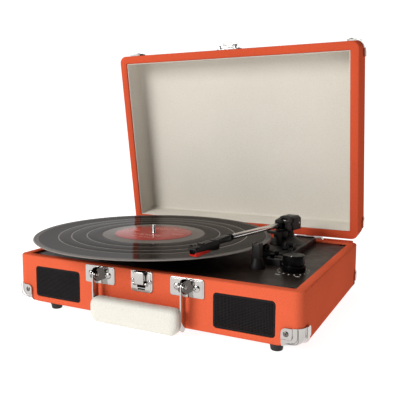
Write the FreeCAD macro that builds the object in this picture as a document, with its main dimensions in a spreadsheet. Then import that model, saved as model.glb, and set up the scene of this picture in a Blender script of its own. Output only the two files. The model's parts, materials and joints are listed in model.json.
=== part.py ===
import FreeCAD, Part
import math
import os
import re

import Sketcher
from FreeCAD import Placement, Rotation, Vector

# Suitcase record player, lid open, with a 12-inch record on its platter.
# Everything is laid out about the middle of the case on its support surface: +X right, +Y back, +Z up.
# Lid pieces are laid out closed, about the hinge axis, and arm pieces about the arm pivot, +X forward.

SIZES = {
    # where the middle of the case lies in the part's own frame
    "case_x": 10.6, "case_y": -1.8,
    # case
    "case_w": 358, "case_d": 262, "wall": 11, "corner": 10, "rim_round": 1.5,
    "base_z": 7, "rim_z": 64.3, "deck_z": 62, "deck_t": 2.5, "panel_t": 3, "panel_z": 8,
    "block": 14, "block_low": 30,
    # lid and hinge
    "lid_open": 81, "lid_depth": 45, "lid_panel": 6, "hinge_back": 2.2, "hinge_up": 1.2,
    "lining_t": 1.2, "lining_inset": 2.5, "barrel_rad": 1.8, "hinge_pin": 0.8, "hinge_x": 112,
    "knuckle": 12, "leaf_t": 1, "leaf_len": 20, "running": 0.05, "gap": 0.5,
    # speakers and grilles
    "spk_x": 118.5, "spk_z": 33.5, "grille_w": 66.5, "grille_h": 37.2, "window_w": 60, "window_h": 31,
    "recess": 2, "grille_t": 1.6, "grille_round": 4, "basket_rad": 23.5, "basket_z": 35.2,
    # handle
    "brk_x": 55.6, "brk_w": 40, "brk_h": 20.2, "brk_z": 53.2, "sheet_t": 1.2, "ear_in": 3.4, "ear_t": 1.3,
    "ear_out": 15, "ear_h": 16, "pivot_out": 10, "pivot_z": 56, "pivot_rad": 1.6, "strap_t": 1.6,
    "strap_w": 10, "strap_low": 8, "grip_h": 28.6, "grip_d": 19, "grip_z": 19, "grip_out": 14,
    "grip_w": 114, "grip_round": 9,
    "screw_rad": 3.9, "screw_off": 11.4, "pivot_len": 8,
    # latch and lid catch
    "latch_w": 27.6, "latch_low": 40.5, "lever_w": 12.4, "lever_low": 50.7, "lever_top": 64.6,
    "lever_axis": 3.7, "lever_out": 7.4, "catch_w": 34, "catch_h": 15, "hasp_w": 20,
    "hasp_len": 11.5, "hasp_lip": 4,
    # corner guards and feet
    "guard": 21, "guard_t": 0.8, "foot_left": -130, "foot_right": 150, "foot_y": 120, "foot_rad": 6.5,
    # platter and record
    "rec_x": -50.4, "rec_y": -22.7, "rec_rad": 150.6, "rec_low": 81.6, "rec_t": 1.8, "label_rad": 50,
    "label_t": 0.2, "mat_t": 1.5, "mat_rad": 92, "plat_rad": 95, "plat_low": 73, "drum_rad": 70,
    "drum_low": 66, "spindle_rad": 3.55, "spindle_up": 11, "spindle_neck": 0.6, "bush_rad": 6,
    # motor and belt
    "motor_dist": 84, "motor_angle": 135, "motor_rad": 16, "motor_h": 24, "pulley_rad": 3, "shaft_rad": 1,
    "belt_gap": 0.35, "belt_t": 1, "belt_low": 67, "belt_h": 4,
    # tonearm
    "piv_x": 98.5, "piv_y": 63, "arm_z": 94.5, "arm_yaw": 257.5, "tube_rad": 3.2, "tube_end": 126,
    "turret_rad": 15, "turret_top": 85.6, "plate_top": 70, "plate_right": 128, "plate_left": 83,
    "tongue_left": 106, "plate_front": -36, "plate_back": 111, "plate_step": 0,
    "post_x": 103.4, "post_y": -54,
    "post_top": 90.8, "needle_s": 189, "shell_back": 148.5, "shell_front": 193, "shell_w": 10,
    "cart_w": 7.2, "yoke_h": 15.4, "flare_rad": 21,
    "bar_rad": 24, "bar_low": 84, "bar_h": 3.2, "cue_x": 118, "cue_y": 22, "cue_z": 75,
    # controls
    "knob_x": 143.5, "knob_y": -47, "skirt_rad": 13, "knob_rad": 11.7, "knob_low": 62.6, "skirt_top": 69,
    "knob_top": 80, "pot_rad": 3, "speed_x": 115, "speed_y": -11, "stop_y": -26, "slot_w": 14, "screw_in": 6,
    # rear sockets
    "jack_x": 70, "jack_z": 34, "jack_w": 90, "jack_h": 22, "plug_rad": 2.85,
    # amplifier board
    "board_x": 20, "board_y": 50, "board_z": 21, "board_w": 100, "board_d": 50, "board_t": 1.6,
}

doc = FreeCAD.newDocument("RecordPlayer")
sheet = doc.addObject("Spreadsheet::Sheet", "Dims")
for row, (alias, size) in enumerate(SIZES.items(), start=1):
    sheet.set(f"A{row}", alias)
    sheet.set(f"B{row}", str(size))
    sheet.setAlias(f"B{row}", alias)
doc.recompute()

nodes = []


def expr(text):
    """An expression on the sheet's cells, from one written with plain size names."""
    return re.sub(r"[a-z_]+", lambda m: "Dims." + m.group() if m.group() in SIZES else m.group(), str(text))


def bind(obj, prop, text):
    obj.setExpression(prop, expr(text))
    return obj


def seat(obj, at, axis=(0, 0, 1), angle=0):
    """Puts an object at three expressions, turned about an axis by an expression in degrees."""
    obj.Placement = Placement(Vector(), Rotation(Vector(*axis), 1 if angle else 0))
    for letter, text in zip("xyz", at):
        bind(obj, "Placement.Base." + letter, text)
    if angle:
        bind(obj, "Placement.Rotation.Angle", angle)
    return obj


def box(at, size):
    """A block from its lowest corner and its size."""
    obj = doc.addObject("Part::Box", "Block")
    for prop, text in zip(("Length", "Width", "Height"), size):
        bind(obj, prop, text)
    return seat(obj, at)


ALONG = {"z": ((0, 0, 1), 0), "x": ((0, 1, 0), 90), "y": ((-1, 0, 0), 90)}


def rod(at, radius, length, along="z"):
    """A cylinder that runs from a point along +X, +Y or +Z."""
    obj = doc.addObject("Part::Cylinder", "Rod")
    bind(obj, "Radius", radius)
    bind(obj, "Height", length)
    return seat(obj, at, *ALONG[along])


def cone(at, low_radius, top_radius, height, along="z", back=False):
    """A cone frustum from a point along an axis, or back along Y."""
    obj = doc.addObject("Part::Cone", "Cone")
    bind(obj, "Radius1", low_radius)
    bind(obj, "Radius2", top_radius)
    bind(obj, "Height", height)
    return seat(obj, at, (1, 0, 0), 90) if back else seat(obj, at, *ALONG[along])


def fuse(*shapes):
    obj = doc.addObject("Part::MultiFuse", "Fuse")
    obj.Shapes = list(shapes)
    return obj


def cut(base, *tools):
    obj = doc.addObject("Part::Cut", "Cut")
    obj.Base = base
    obj.Tool = tools[0] if len(tools) == 1 else fuse(*tools)
    return obj


def group(*shapes):
    obj = doc.addObject("Part::Compound", "Group")
    obj.Links = list(shapes)
    return obj


def common(first, second):
    obj = doc.addObject("Part::Common", "Common")
    obj.Base = first
    obj.Tool = second
    return obj


def rounded(base, radius, chosen):
    """Rounds the edges of an object that the test chooses."""
    doc.recompute()
    obj = doc.addObject("Part::Fillet", "Rounded")
    obj.Base = base
    edges = base.Shape.Edges
    obj.Edges = [(i + 1, radius, radius) for i, edge in enumerate(edges) if chosen(edge)]
    return obj


def runs_along(letter):
    """True for a straight edge that runs along one axis."""
    def test(edge):
        way = edge.tangentAt(edge.FirstParameter)
        return abs(getattr(way, letter)) > 0.99 and edge.Curve.TypeId == "Part::GeomLine"
    return test


FRAMES = {
    "case": (("case_x", "case_y", "0"), (0, 0, 1), 0),
    "lid": (("case_x", "case_y + case_d / 2 + hinge_back", "rim_z + hinge_up"), (-1, 0, 0), "lid_open"),
    "arm": (("case_x + piv_x", "case_y + piv_y", "arm_z"), (0, 0, 1), "arm_yaw"),
}


def node(label, obj, frame="case"):
    """Names a finished sub-part and seats its layout frame in the part's own frame."""
    obj.Label = label
    nodes.append(seat(obj, *FRAMES[frame]))
    return obj


def sketch_on(body, role, offset="0"):
    plane = next(f for f in body.Origin.OriginFeatures if f.Role == role)
    sketch = body.newObject("Sketcher::SketchObject", "Outline")
    sketch.AttachmentSupport = [(plane, "")]
    sketch.MapMode = "FlatFace"
    return bind(sketch, "AttachmentOffset.Base.z", offset)


def loop(sketch, points):
    """Adds a closed loop of lines between points, as joined but free lines."""
    first = sketch.GeometryCount
    count = len(points)
    for i, point in enumerate(points):
        sketch.addGeometry(Part.LineSegment(Vector(*point, 0), Vector(*points[(i + 1) % count], 0)))
    for i in range(count):
        sketch.addConstraint(Sketcher.Constraint("Coincident", first + i, 2, first + (i + 1) % count, 1))


def rectangle(body, width, depth, offset="0"):
    """A rectangle sketch about the body's origin, bound to two expressions."""
    sketch = sketch_on(body, "XY_Plane", offset)
    loop(sketch, [(-10, -8), (10, -8), (10, 8), (-10, 8)])
    for line, way in enumerate(("Horizontal", "Vertical") * 2):
        sketch.addConstraint(Sketcher.Constraint(way, line))
    sketch.addConstraint(Sketcher.Constraint("Symmetric", 0, 1, 2, 1, -1, 1))
    for line, way, text in ((0, "DistanceX", width), (1, "DistanceY", depth)):
        number = sketch.addConstraint(Sketcher.Constraint(way, line, 1, line, 2, 20))
        bind(sketch, f"Constraints[{number}]", text)
    return sketch


def tray(width, depth, low, height, inner_w, inner_d, floor=None):
    """A rounded box wall. With a floor, its hollow opens downwards and stops under the floor."""
    body = doc.addObject("PartDesign::Body", "Tray")
    pad = body.newObject("PartDesign::Pad", "Pad")
    pad.Profile = rectangle(body, width, depth, low)
    bind(pad, "Length", height)
    doc.recompute()
    fillet = body.newObject("PartDesign::Fillet", "Corners")
    edges = enumerate(pad.Shape.Edges, start=1)
    fillet.Base = (pad, [f"Edge{i}" for i, edge in edges if runs_along("z")(edge)])
    bind(fillet, "Radius", "corner")
    pocket = body.newObject("PartDesign::Pocket", "Hollow")
    pocket.Profile = rectangle(body, inner_w, inner_d, low)
    pocket.Reversed = True
    bind(pocket, "Length", f"{height} - ({floor or 0})")
    doc.recompute()
    rim = body.newObject("PartDesign::Fillet", "Rims")
    spans = [e.BoundBox for e in pocket.Shape.Edges]
    level = min(s.ZMin for s in spans) if floor else max(s.ZMax for s in spans)
    rim.Base = (pocket, [f"Edge{i}" for i, s in enumerate(spans, start=1)
                         if abs(s.ZMin - level) < 0.01 and abs(s.ZMax - level) < 0.01])
    bind(rim, "Radius", "rim_round")
    return body


def turned(profile, at=("0", "0", "0")):
    """A turned piece from its half profile, a loop of (radius, height) expressions, about a vertical axis."""
    body = doc.addObject("PartDesign::Body", "Turned")
    sketch = sketch_on(body, "XZ_Plane")
    seeds = [(20 + 9 * math.cos(6.28 * i / len(profile)), 9 * math.sin(6.28 * i / len(profile)))
             for i in range(len(profile))]
    loop(sketch, seeds)
    for i, (radius, height) in enumerate(profile):
        if str(radius) == "0":
            sketch.addConstraint(Sketcher.Constraint("PointOnObject", i, 1, -2))
        else:
            number = sketch.addConstraint(Sketcher.Constraint("DistanceX", -1, 1, i, 1, seeds[i][0]))
            bind(sketch, f"Constraints[{number}]", radius)
        number = sketch.addConstraint(Sketcher.Constraint("DistanceY", -1, 1, i, 1, seeds[i][1]))
        bind(sketch, f"Constraints[{number}]", height)
    spin = body.newObject("PartDesign::Revolution", "Spin")
    spin.Profile = sketch
    spin.ReferenceAxis = (sketch, ["V_Axis"])
    spin.Angle = 360
    seat(body, at)
    return group(body)


def ring(outer, inner, low, high, at):
    return turned([(inner, low), (outer, low), (outer, high), (inner, high)], at)


def mirrored(maker):
    """The left and right copies of a piece, from a maker that takes the side as text."""
    return maker("-1"), maker("1")


CORNERS = [(a, b) for a in ("-1", "1") for b in ("-1", "1")]


# ---- case ----

def base_shell():
    walls = tray("case_w", "case_d", "base_z", "rim_z - base_z", "case_w - 2 * wall", "case_d - 2 * wall")
    tools = []
    for side in ("-1", "1"):
        tools.append(box((f"{side} * spk_x - window_w / 2", "-case_d / 2 - 1", "spk_z - window_h / 2"),
                         ("window_w", "wall + 2", "window_h")))
        tools.append(box((f"{side} * spk_x - grille_w / 2", "-case_d / 2 - 1", "spk_z - grille_h / 2"),
                         ("grille_w", "recess + 1", "grille_h")))
    tools.append(box(("jack_x - jack_w / 2", "case_d / 2 - wall - 1", "jack_z - jack_h / 2"),
                     ("jack_w", "wall + 2", "jack_h")))
    blocks = [box((f"{a} * (case_w / 2 - wall - block / 2) - block / 2",
                   f"{b} * (case_d / 2 - wall - block / 2) - block / 2", "block_low"),
                  ("block", "block", "deck_z - deck_t - block_low")) for a, b in CORNERS]
    return node("base_shell", cut(fuse(walls, *blocks), *tools, *deck_screw_shanks()))


def deck_screw_spots():
    return [(f"{a} * (case_w / 2 - wall - screw_in)", f"{b} * (case_d / 2 - wall - screw_in)")
            for a, b in CORNERS]


def deck_screw_shanks():
    return [rod((x, y, "deck_z - 16"), "1.5", "15") for x, y in deck_screw_spots()]


base_shell()
node("bottom_panel", group(box(("-case_w / 2 + wall", "-case_d / 2 + wall", "panel_z"),
                               ("case_w - 2 * wall", "case_d - 2 * wall", "panel_t"))))

deck = box(("-case_w / 2 + wall", "-case_d / 2 + wall", "deck_z - deck_t"),
           ("case_w - 2 * wall", "case_d - 2 * wall", "deck_t"))
motor_x = "(rec_x + motor_dist * cos(motor_angle * 1deg))"
motor_y = "(rec_y + motor_dist * sin(motor_angle * 1deg))"
node("deck_plate", cut(deck, rod(("rec_x", "rec_y", "deck_z - 5"), "bush_rad", "10"),
                       rod((motor_x, motor_y, "deck_z - 5"), "pulley_rad + 3", "10"),
                       rod(("knob_x", "knob_y", "deck_z - 5"), "pot_rad + 1", "10"),
                       rod(("piv_x", "piv_y", "deck_z - 5"), "6", "10"),
                       *[rod((x, y, "deck_z - 1.5"), "3.3", "5") for x, y in deck_screw_spots()],
                       *deck_screw_shanks()))
node("deck_screws", group(*[turned([("0", "-16"), ("1.5", "-16"), ("1.5", "-1.5"), ("3", "-1.5"),
                                    ("3", "-0.7"), ("2", "-0.2"), ("0", "-0.2")], (x, y, "deck_z"))
                            for x, y in deck_screw_spots()]))


def grille(side):
    plate = box((f"{side} * spk_x - grille_w / 2 + 0.1", "-case_d / 2 + recess - grille_t",
                 "spk_z - grille_h / 2 + 0.1"), ("grille_w - 0.2", "grille_t", "grille_h - 0.2"))
    return group(rounded(plate, SIZES["grille_round"], runs_along("y")))


def speaker_basket(side):
    front = "-case_d / 2 + wall"
    outside = fuse(cone((f"{side} * spk_x", front, "basket_z"), "basket_rad", "13", "16", "y"),
                   rod((f"{side} * spk_x", f"{front} + 16", "basket_z"), "16", "9", "y"))
    inside = cone((f"{side} * spk_x", f"{front} - 0.01", "basket_z"), "basket_rad - 2", "10", "15", "y")
    return cut(outside, inside)


def speaker_cone(side):
    front = "-case_d / 2 + wall + 1"
    outer = cone((f"{side} * spk_x", front, "basket_z"), "basket_rad - 3.5", "8", "12", "y")
    inner = cone((f"{side} * spk_x", f"{front} - 0.01", "basket_z"), "basket_rad - 4.5", "7", "11", "y")
    return cut(outer, inner)


for name, maker in (("speaker_grille", grille), ("speaker_basket", speaker_basket),
                    ("speaker_cone", speaker_cone)):
    for side, piece in zip(("left", "right"), mirrored(maker)):
        node(f"{name}_{side}", piece)

board = box(("board_x", "board_y", "board_z"), ("board_w", "board_d", "board_t"))
board_top = "board_z + board_t"
heat_sink = box(("board_x + 10", "board_y + 10", board_top), ("24", "7", "16"))
chip = box(("board_x + 60", "board_y + 12", board_top), ("12", "12", "5"))
cans = [rod((f"board_x + {x}", "board_y + 38", board_top), "4", "11") for x in ("42", "54", "80")]
stands = [rod((x, y, "panel_z + panel_t"), "3", "board_z - panel_z - panel_t")
          for x in ("board_x + 5", "board_x + board_w - 5") for y in ("board_y + 5", "board_y + board_d - 5")]
node("amplifier_board", fuse(board, heat_sink, chip, *cans, *stands))

# ---- rear sockets ----

rear_y = "case_d / 2 - 1.5"
jack_plate = box(("jack_x - jack_w / 2 + 0.1", rear_y, "jack_z - jack_h / 2 + 0.1"),
                 ("jack_w - 0.2", "1.5", "jack_h - 0.2"))
audio_x = ["jack_x + 30", "jack_x + 14", "jack_x - 6"]
power_x = "jack_x - 28"
jack_holes = [rod((x, "case_d / 2 - 4", "jack_z"), "4", "6", "y") for x in audio_x]
power_hole = rod((power_x, "case_d / 2 - 4", "jack_z"), "5", "6", "y")
node("rear_jack_plate", cut(jack_plate, *jack_holes, power_hole))
sockets = [cut(rod((x, "case_d / 2 - 9", "jack_z"), "4", length, "y"),
               rod((x, "case_d / 2 - 7", "jack_z"), bore, "20", "y"))
           for x, length, bore in zip(audio_x, ("15", "15", "9.5"), ("1.6", "1.6", "1.8"))]
node("audio_sockets", group(*sockets))
node("dc_socket", cut(rod((power_x, "case_d / 2 - 10", "jack_z"), "5", "10.5", "y"),
                      rod((power_x, "case_d / 2 - 9", "jack_z"), "plug_rad", "12", "y")))

# ---- motor, belt, platter, record ----

motor_top = "deck_z - deck_t"
node("motor", fuse(rod((motor_x, motor_y, f"{motor_top} - motor_h"), "motor_rad", "motor_h"),
                   rod((motor_x, motor_y, motor_top), "shaft_rad", "12")))
node("motor_pulley", ring("pulley_rad", "shaft_rad + running", "64.5", "71.8", (motor_x, motor_y, "0")))


def belt_outline(drum, pulley, distance):
    """The tight loop round two circles, as a closed wire: the drum at the origin and the pulley at +X."""
    lean = math.acos((drum - pulley) / distance)
    on_drum = [Vector(drum * math.cos(s * lean), drum * math.sin(s * lean), 0) for s in (1, -1)]
    on_pulley = [Vector(distance + pulley * math.cos(s * lean), pulley * math.sin(s * lean), 0)
                 for s in (1, -1)]
    far_drum = Vector(-drum, 0, 0)
    far_pulley = Vector(distance + pulley, 0, 0)
    return Part.Wire([Part.Arc(on_drum[0], far_drum, on_drum[1]).toShape(),
                      Part.LineSegment(on_drum[1], on_pulley[1]).toShape(),
                      Part.Arc(on_pulley[1], far_pulley, on_pulley[0]).toShape(),
                      Part.LineSegment(on_pulley[0], on_drum[0]).toShape()])


def cell(alias):
    return float(sheet.get(alias))


def drive_belt():
    inner_gap = cell("belt_gap")
    outer_gap = inner_gap + cell("belt_t")
    wires = [belt_outline(cell("drum_rad") + gap, cell("pulley_rad") + gap, cell("motor_dist"))
             for gap in (outer_gap, inner_gap)]
    band = Part.Face(wires[0]).cut(Part.Face(wires[1])).extrude(Vector(0, 0, cell("belt_h")))
    belt = doc.addObject("Part::Feature", "Belt")
    belt.Shape = band
    seat(belt, ("rec_x", "rec_y", "belt_low"), (0, 0, 1), "motor_angle")
    return group(belt)


node("drive_belt", drive_belt())
centre = ("rec_x", "rec_y", "0")
bore = "spindle_rad + running"
node("platter_bearing", turned([(bore, "46"), ("bush_rad", "46"), ("bush_rad", "deck_z"),
                                ("bush_rad + 3", "deck_z"), ("bush_rad + 3", "deck_z + 1.5"),
                                (bore, "deck_z + 1.5")], centre))
node("platter", turned([(bore, "65"), ("10", "65"), ("10", "plat_low"), ("drum_rad - 4", "plat_low"),
                        ("drum_rad - 4", "drum_low"), ("drum_rad", "drum_low"), ("drum_rad", "plat_low"),
                        ("plat_rad - 2", "plat_low"), ("plat_rad", "plat_low + 2"),
                        ("plat_rad", "rec_low - mat_t - 1.5"), ("plat_rad - 1.5", "rec_low - mat_t"),
                        (bore, "rec_low - mat_t")], centre))
node("platter_mat", ring("mat_rad", bore, "rec_low - mat_t", "rec_low", centre))
neck_z = "rec_low + rec_t + label_t + 0.1"
node("spindle", turned([("0", "47"), ("spindle_rad", "47"), ("spindle_rad", neck_z),
                        ("spindle_rad - spindle_neck", neck_z),
                        ("spindle_rad - spindle_neck", f"{neck_z} + 0.6"),
                        ("spindle_rad", f"{neck_z} + 0.6"),
                        ("spindle_rad", "rec_low + rec_t + spindle_up - 3"),
                        ("spindle_rad - 1", "rec_low + rec_t + spindle_up - 0.8"),
                        ("spindle_rad - 2.4", "rec_low + rec_t + spindle_up"),
                        ("0", "rec_low + rec_t + spindle_up")], centre))
node("record_disc", turned([(bore, "rec_low"), ("rec_rad - 0.8", "rec_low"), ("rec_rad", "rec_low + 0.6"),
                            ("rec_rad", "rec_low + rec_t - 0.6"), ("rec_rad - 0.8", "rec_low + rec_t"),
                            (bore, "rec_low + rec_t")], centre))
node("record_label", ring("label_rad", bore, "rec_low + rec_t", "rec_low + rec_t + label_t", centre))

# ---- handle ----

front = "-case_d / 2"


def bracket(side):
    plate = box((f"{side} * brk_x - brk_w / 2", f"{front} - sheet_t", "brk_z - brk_h / 2"),
                ("brk_w", "sheet_t", "brk_h"))
    ears = [box((f"{side} * brk_x + {way} * (ear_in / 2 + ear_t / 2) - ear_t / 2", f"{front} - ear_out",
                 "pivot_z - ear_h + 6.5"), ("ear_t", "ear_out - sheet_t", "ear_h")) for way in ("-1", "1")]
    hole = rod((f"{side} * brk_x - 8", f"{front} - pivot_out", "pivot_z"), "pivot_rad", "16", "x")
    return cut(fuse(plate, *ears), hole)


def strap(side):
    """A flat bar with round ends, from the pivot down past the grip."""
    low_x = f"{side} * brk_x - strap_t / 2"
    pivot_y = f"{front} - pivot_out"
    top = rod((low_x, pivot_y, "pivot_z"), "strap_w / 2", "strap_t", "x")
    low = rod((low_x, pivot_y, "strap_low + strap_w / 2"), "strap_w / 2", "strap_t", "x")
    bar = box((low_x, f"{pivot_y} - strap_w / 2", "strap_low + strap_w / 2"),
              ("strap_t", "strap_w", "pivot_z - strap_low - strap_w / 2"))
    hole = rod((f"{side} * brk_x - 5", pivot_y, "pivot_z"), "pivot_rad + 0.08", "10", "x")
    return cut(fuse(top, bar, low), hole)


def domed_screw(x, y, z, radius="screw_rad"):
    """A domed screw head on a face that looks towards -Y."""
    return fuse(cone((x, y, z), radius, f"{radius} - 0.6", "0.9", back=True),
                cone((x, f"{y} - 0.9", z), f"{radius} - 0.6", f"{radius} - 2", "0.8", back=True))


for side, sign in (("left", "-1"), ("right", "1")):
    node(f"handle_bracket_{side}", bracket(sign))
    node(f"handle_strap_{side}", strap(sign))
bracket_screws = [domed_screw(f"{a} * brk_x + {b} * screw_off", f"{front} - sheet_t", "brk_z + 0.3")
                  for a, b in CORNERS]
node("bracket_screws", group(*bracket_screws))
pivot_pins = [rod((f"{side} * brk_x - pivot_len / 2", f"{front} - pivot_out", "pivot_z"),
                  "pivot_rad", "pivot_len", "x") for side in ("-1", "1")]
node("handle_pivot_pins", group(*pivot_pins))
grip_block = box(("-grip_w / 2", f"{front} - grip_out - grip_d / 2", "grip_z - grip_h / 2"),
                 ("grip_w", "grip_d", "grip_h"))
grip_notches = [box((f"{side} * brk_x + ({side} - 1) * 5 - {side} * strap_t / 2",
                     f"{front} - pivot_out - strap_w / 2", "0"), ("10", "30", "50")) for side in ("-1", "1")]
grip_bar = rounded(grip_block, SIZES["grip_round"], lambda edge: True)
node("handle_grip", cut(grip_bar, *grip_notches))

# ---- latch on the base ----

latch_face = f"{front} - sheet_t"
latch_axis_y = f"{latch_face} - lever_axis + sheet_t"
latch_plate = box(("-latch_w / 2", latch_face, "latch_low"),
                  ("latch_w", "sheet_t", "rim_z - 0.3 - latch_low"))
latch_ears = [box((f"{way} * (lever_w / 2 + 1) - 0.6", f"{front} - 5.6", "lever_low - 2.6"),
                  ("1.2", "4.6", "6")) for way in ("-1", "1")]
node("latch_plate", cut(fuse(latch_plate, *latch_ears),
                        rod(("-10", latch_axis_y, "lever_low"), "1.2 + running", "20", "x")))
latch_hub = rod(("-lever_w / 2", latch_axis_y, "lever_low"), "1.9", "lever_w", "x")
latch_pin = rod(("-lever_w / 2 - 1.8", latch_axis_y, "lever_low"), "1.2", "lever_w + 3.6", "x")
latch_box = box(("-lever_w / 2", f"{front} - lever_out", "lever_low"),
                ("lever_w", "lever_out - 1.9", "lever_top - lever_low"))
node("latch_lever", fuse(latch_hub, latch_pin, latch_box))
node("latch_screws", group(*[domed_screw(f"{way} * 10.9", latch_face, "53", "2.3") for way in ("-1", "1")]))

# ---- guards and feet ----


def guard_set(low, high, closed_low, mid_y):
    """Four thin corner caps over the case outline between two heights, with a floor or a roof."""
    over = ("case_w + 2 * guard_t", "case_d + 2 * guard_t")
    start = f"{low} - guard_t" if closed_low else low
    end = high if closed_low else f"{high} + guard_t"
    cover = box((f"-({over[0]}) / 2", f"{mid_y} - ({over[1]}) / 2", start), (*over, f"({end}) - ({start})"))
    skin = rounded(cover, SIZES["corner"] + SIZES["guard_t"], runs_along("z"))
    core_low = low if closed_low else f"{low} - 1"
    core_high = f"{high} + 1" if closed_low else high
    inside = box(("-case_w / 2", f"{mid_y} - case_d / 2", core_low),
                 ("case_w", "case_d", f"({core_high}) - ({core_low})"))
    core = rounded(inside, SIZES["corner"], runs_along("z"))
    corners = [box((f"{a} * (case_w / 2 - guard / 2 + 1) - guard / 2 - 1",
                    f"{mid_y} + {b} * (case_d / 2 - guard / 2 + 1) - guard / 2 - 1", f"{low} - 2"),
                   ("guard + 2", "guard + 2", f"({high}) - ({low}) + 4")) for a, b in CORNERS]
    return common(cut(skin, core), group(*corners))


node("corner_guards_base", guard_set("base_z", "base_z + guard", True, "0"))


def guard_screws(height, mid_y):
    """Small round heads on the front and back faces of the four guards."""
    return group(*[rod((f"{a} * (case_w / 2 - guard + 4)",
                        f"{mid_y} + {b} * (case_d / 2 + guard_t + 0.45) - 0.45", height), "2.1", "0.9", "y")
                   for a, b in CORNERS])


node("guard_screws_base", guard_screws("base_z + guard - 6", "0"))
foot = [("0", "0"), ("foot_rad - 1.4", "0"), ("foot_rad - 0.6", "0.8"), ("foot_rad", "base_z"),
        ("0", "base_z")]
node("feet", group(*[turned(foot, (x, f"{way} * foot_y", "0"))
                     for x in ("foot_left", "foot_right") for way in ("-1", "1")]))

# ---- hinges ----

hinge_y = "case_d / 2 + hinge_back"
hinge_z = "rim_z + hinge_up"


def base_leaf(side):
    left = f"{side} * hinge_x - 1.5 * knuckle - gap"
    pieces = [box((left, "case_d / 2", f"{hinge_z} - 3 - leaf_len"),
                  ("3 * knuckle + 2 * gap", "leaf_t", "leaf_len"))]
    for x in (left, f"{left} + 2 * knuckle + 2 * gap"):
        pieces.append(rod((x, hinge_y, hinge_z), "barrel_rad", "knuckle", "x"))
        pieces.append(box((x, "case_d / 2", f"{hinge_z} - 3.5"), ("knuckle", "leaf_t", "3.5")))
    return cut(fuse(*pieces), rod((f"{side} * hinge_x - 30", hinge_y, hinge_z), "hinge_pin", "60", "x"))


def lid_leaf(side):
    middle = f"{side} * hinge_x - knuckle / 2"
    plate = box((f"{side} * hinge_x - 1.5 * knuckle", "-hinge_back", "3"),
                ("3 * knuckle", "leaf_t", "leaf_len"))
    barrel = rod((middle, "0", "0"), "barrel_rad", "knuckle", "x")
    tab = box((middle, "-hinge_back", "0"), ("knuckle", "leaf_t", "3.5"))
    hole = rod((f"{side} * hinge_x - 30", "0", "0"), "hinge_pin + running", "60", "x")
    return cut(fuse(plate, barrel, tab), hole)


node("hinge_base_leaves", group(*mirrored(base_leaf)))
hinge_pins = [rod((f"{side} * hinge_x - 1.5 * knuckle - gap", hinge_y, hinge_z),
                  "hinge_pin", "3 * knuckle + 2 * gap", "x") for side in ("-1", "1")]
node("hinge_pins", group(*hinge_pins))
node("hinge_lid_leaves", group(*mirrored(lid_leaf)), "lid")

# ---- lid, laid out closed about the hinge axis ----

lid_mid = "(-hinge_back - case_d / 2)"
lid_box = tray("case_w", "case_d", "-hinge_up", "lid_depth", "case_w - 2 * wall", "case_d - 2 * wall",
               "lid_panel")
seat(lid_box, ("0", lid_mid, "0"))
node("lid_shell", group(lid_box), "lid")
lining_w = "(case_w - 2 * wall - 0.2)"
lining_d = "(case_d - 2 * wall - 0.2)"
lining_low = "(lining_inset - hinge_up)"
lining_h = "(lid_depth - lid_panel - lining_inset)"
lining_out = box((f"-{lining_w} / 2", f"{lid_mid} - {lining_d} / 2", lining_low),
                 (lining_w, lining_d, lining_h))
lining_in = box((f"-{lining_w} / 2 + lining_t", f"{lid_mid} - {lining_d} / 2 + lining_t",
                 f"{lining_low} - 1"),
                (f"{lining_w} - 2 * lining_t", f"{lining_d} - 2 * lining_t", f"{lining_h} + 1 - lining_t"))
node("lid_lining", cut(lining_out, lining_in), "lid")
lid_top = "lid_depth - hinge_up"
node("corner_guards_lid", guard_set(f"{lid_top} - guard", lid_top, False, lid_mid), "lid")
node("guard_screws_lid", guard_screws(f"{lid_top} - guard + 6", lid_mid), "lid")

catch_y = "-hinge_back - case_d"
hasp_z = "2.5"
catch_plate = box(("-catch_w / 2", f"{catch_y} - 1", "0"), ("catch_w", "1", "catch_h"))
catch_ears = [box((f"{way} * (hasp_w / 2 + 1.4) - 1", f"{catch_y} - 5.5", "0.3"), ("2", "5", "4.4"))
              for way in ("-1", "1")]
node("lid_catch_plate", cut(fuse(catch_plate, *catch_ears),
                            rod(("-14", f"{catch_y} - 3.4", hasp_z), "1.1 + running", "28", "x")), "lid")
hasp_tongue = box(("-hasp_w / 2", f"{catch_y} - 5.2", hasp_z), ("hasp_w", "1.8", "hasp_len"))
hasp_lip = box(("-hasp_w / 2", f"{catch_y} - 5.2 - hasp_lip", f"{hasp_z} + hasp_len - 1.8"),
               ("hasp_w", "hasp_lip", "1.8"))
hasp_slot = box(("-4.5", f"{catch_y} - 6", f"{hasp_z} + 4"), ("9", "4", "4.5"))
hasp_hub = rod(("-hasp_w / 2", f"{catch_y} - 3.4", hasp_z), "1.8", "hasp_w", "x")
hasp_pin = rod(("-hasp_w / 2 - 2.4", f"{catch_y} - 3.4", hasp_z), "1.1", "hasp_w + 4.8", "x")
node("lid_hasp", fuse(cut(hasp_tongue, hasp_slot), hasp_lip, hasp_hub, hasp_pin), "lid")

# ---- tonearm support on the deck ----

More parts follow.
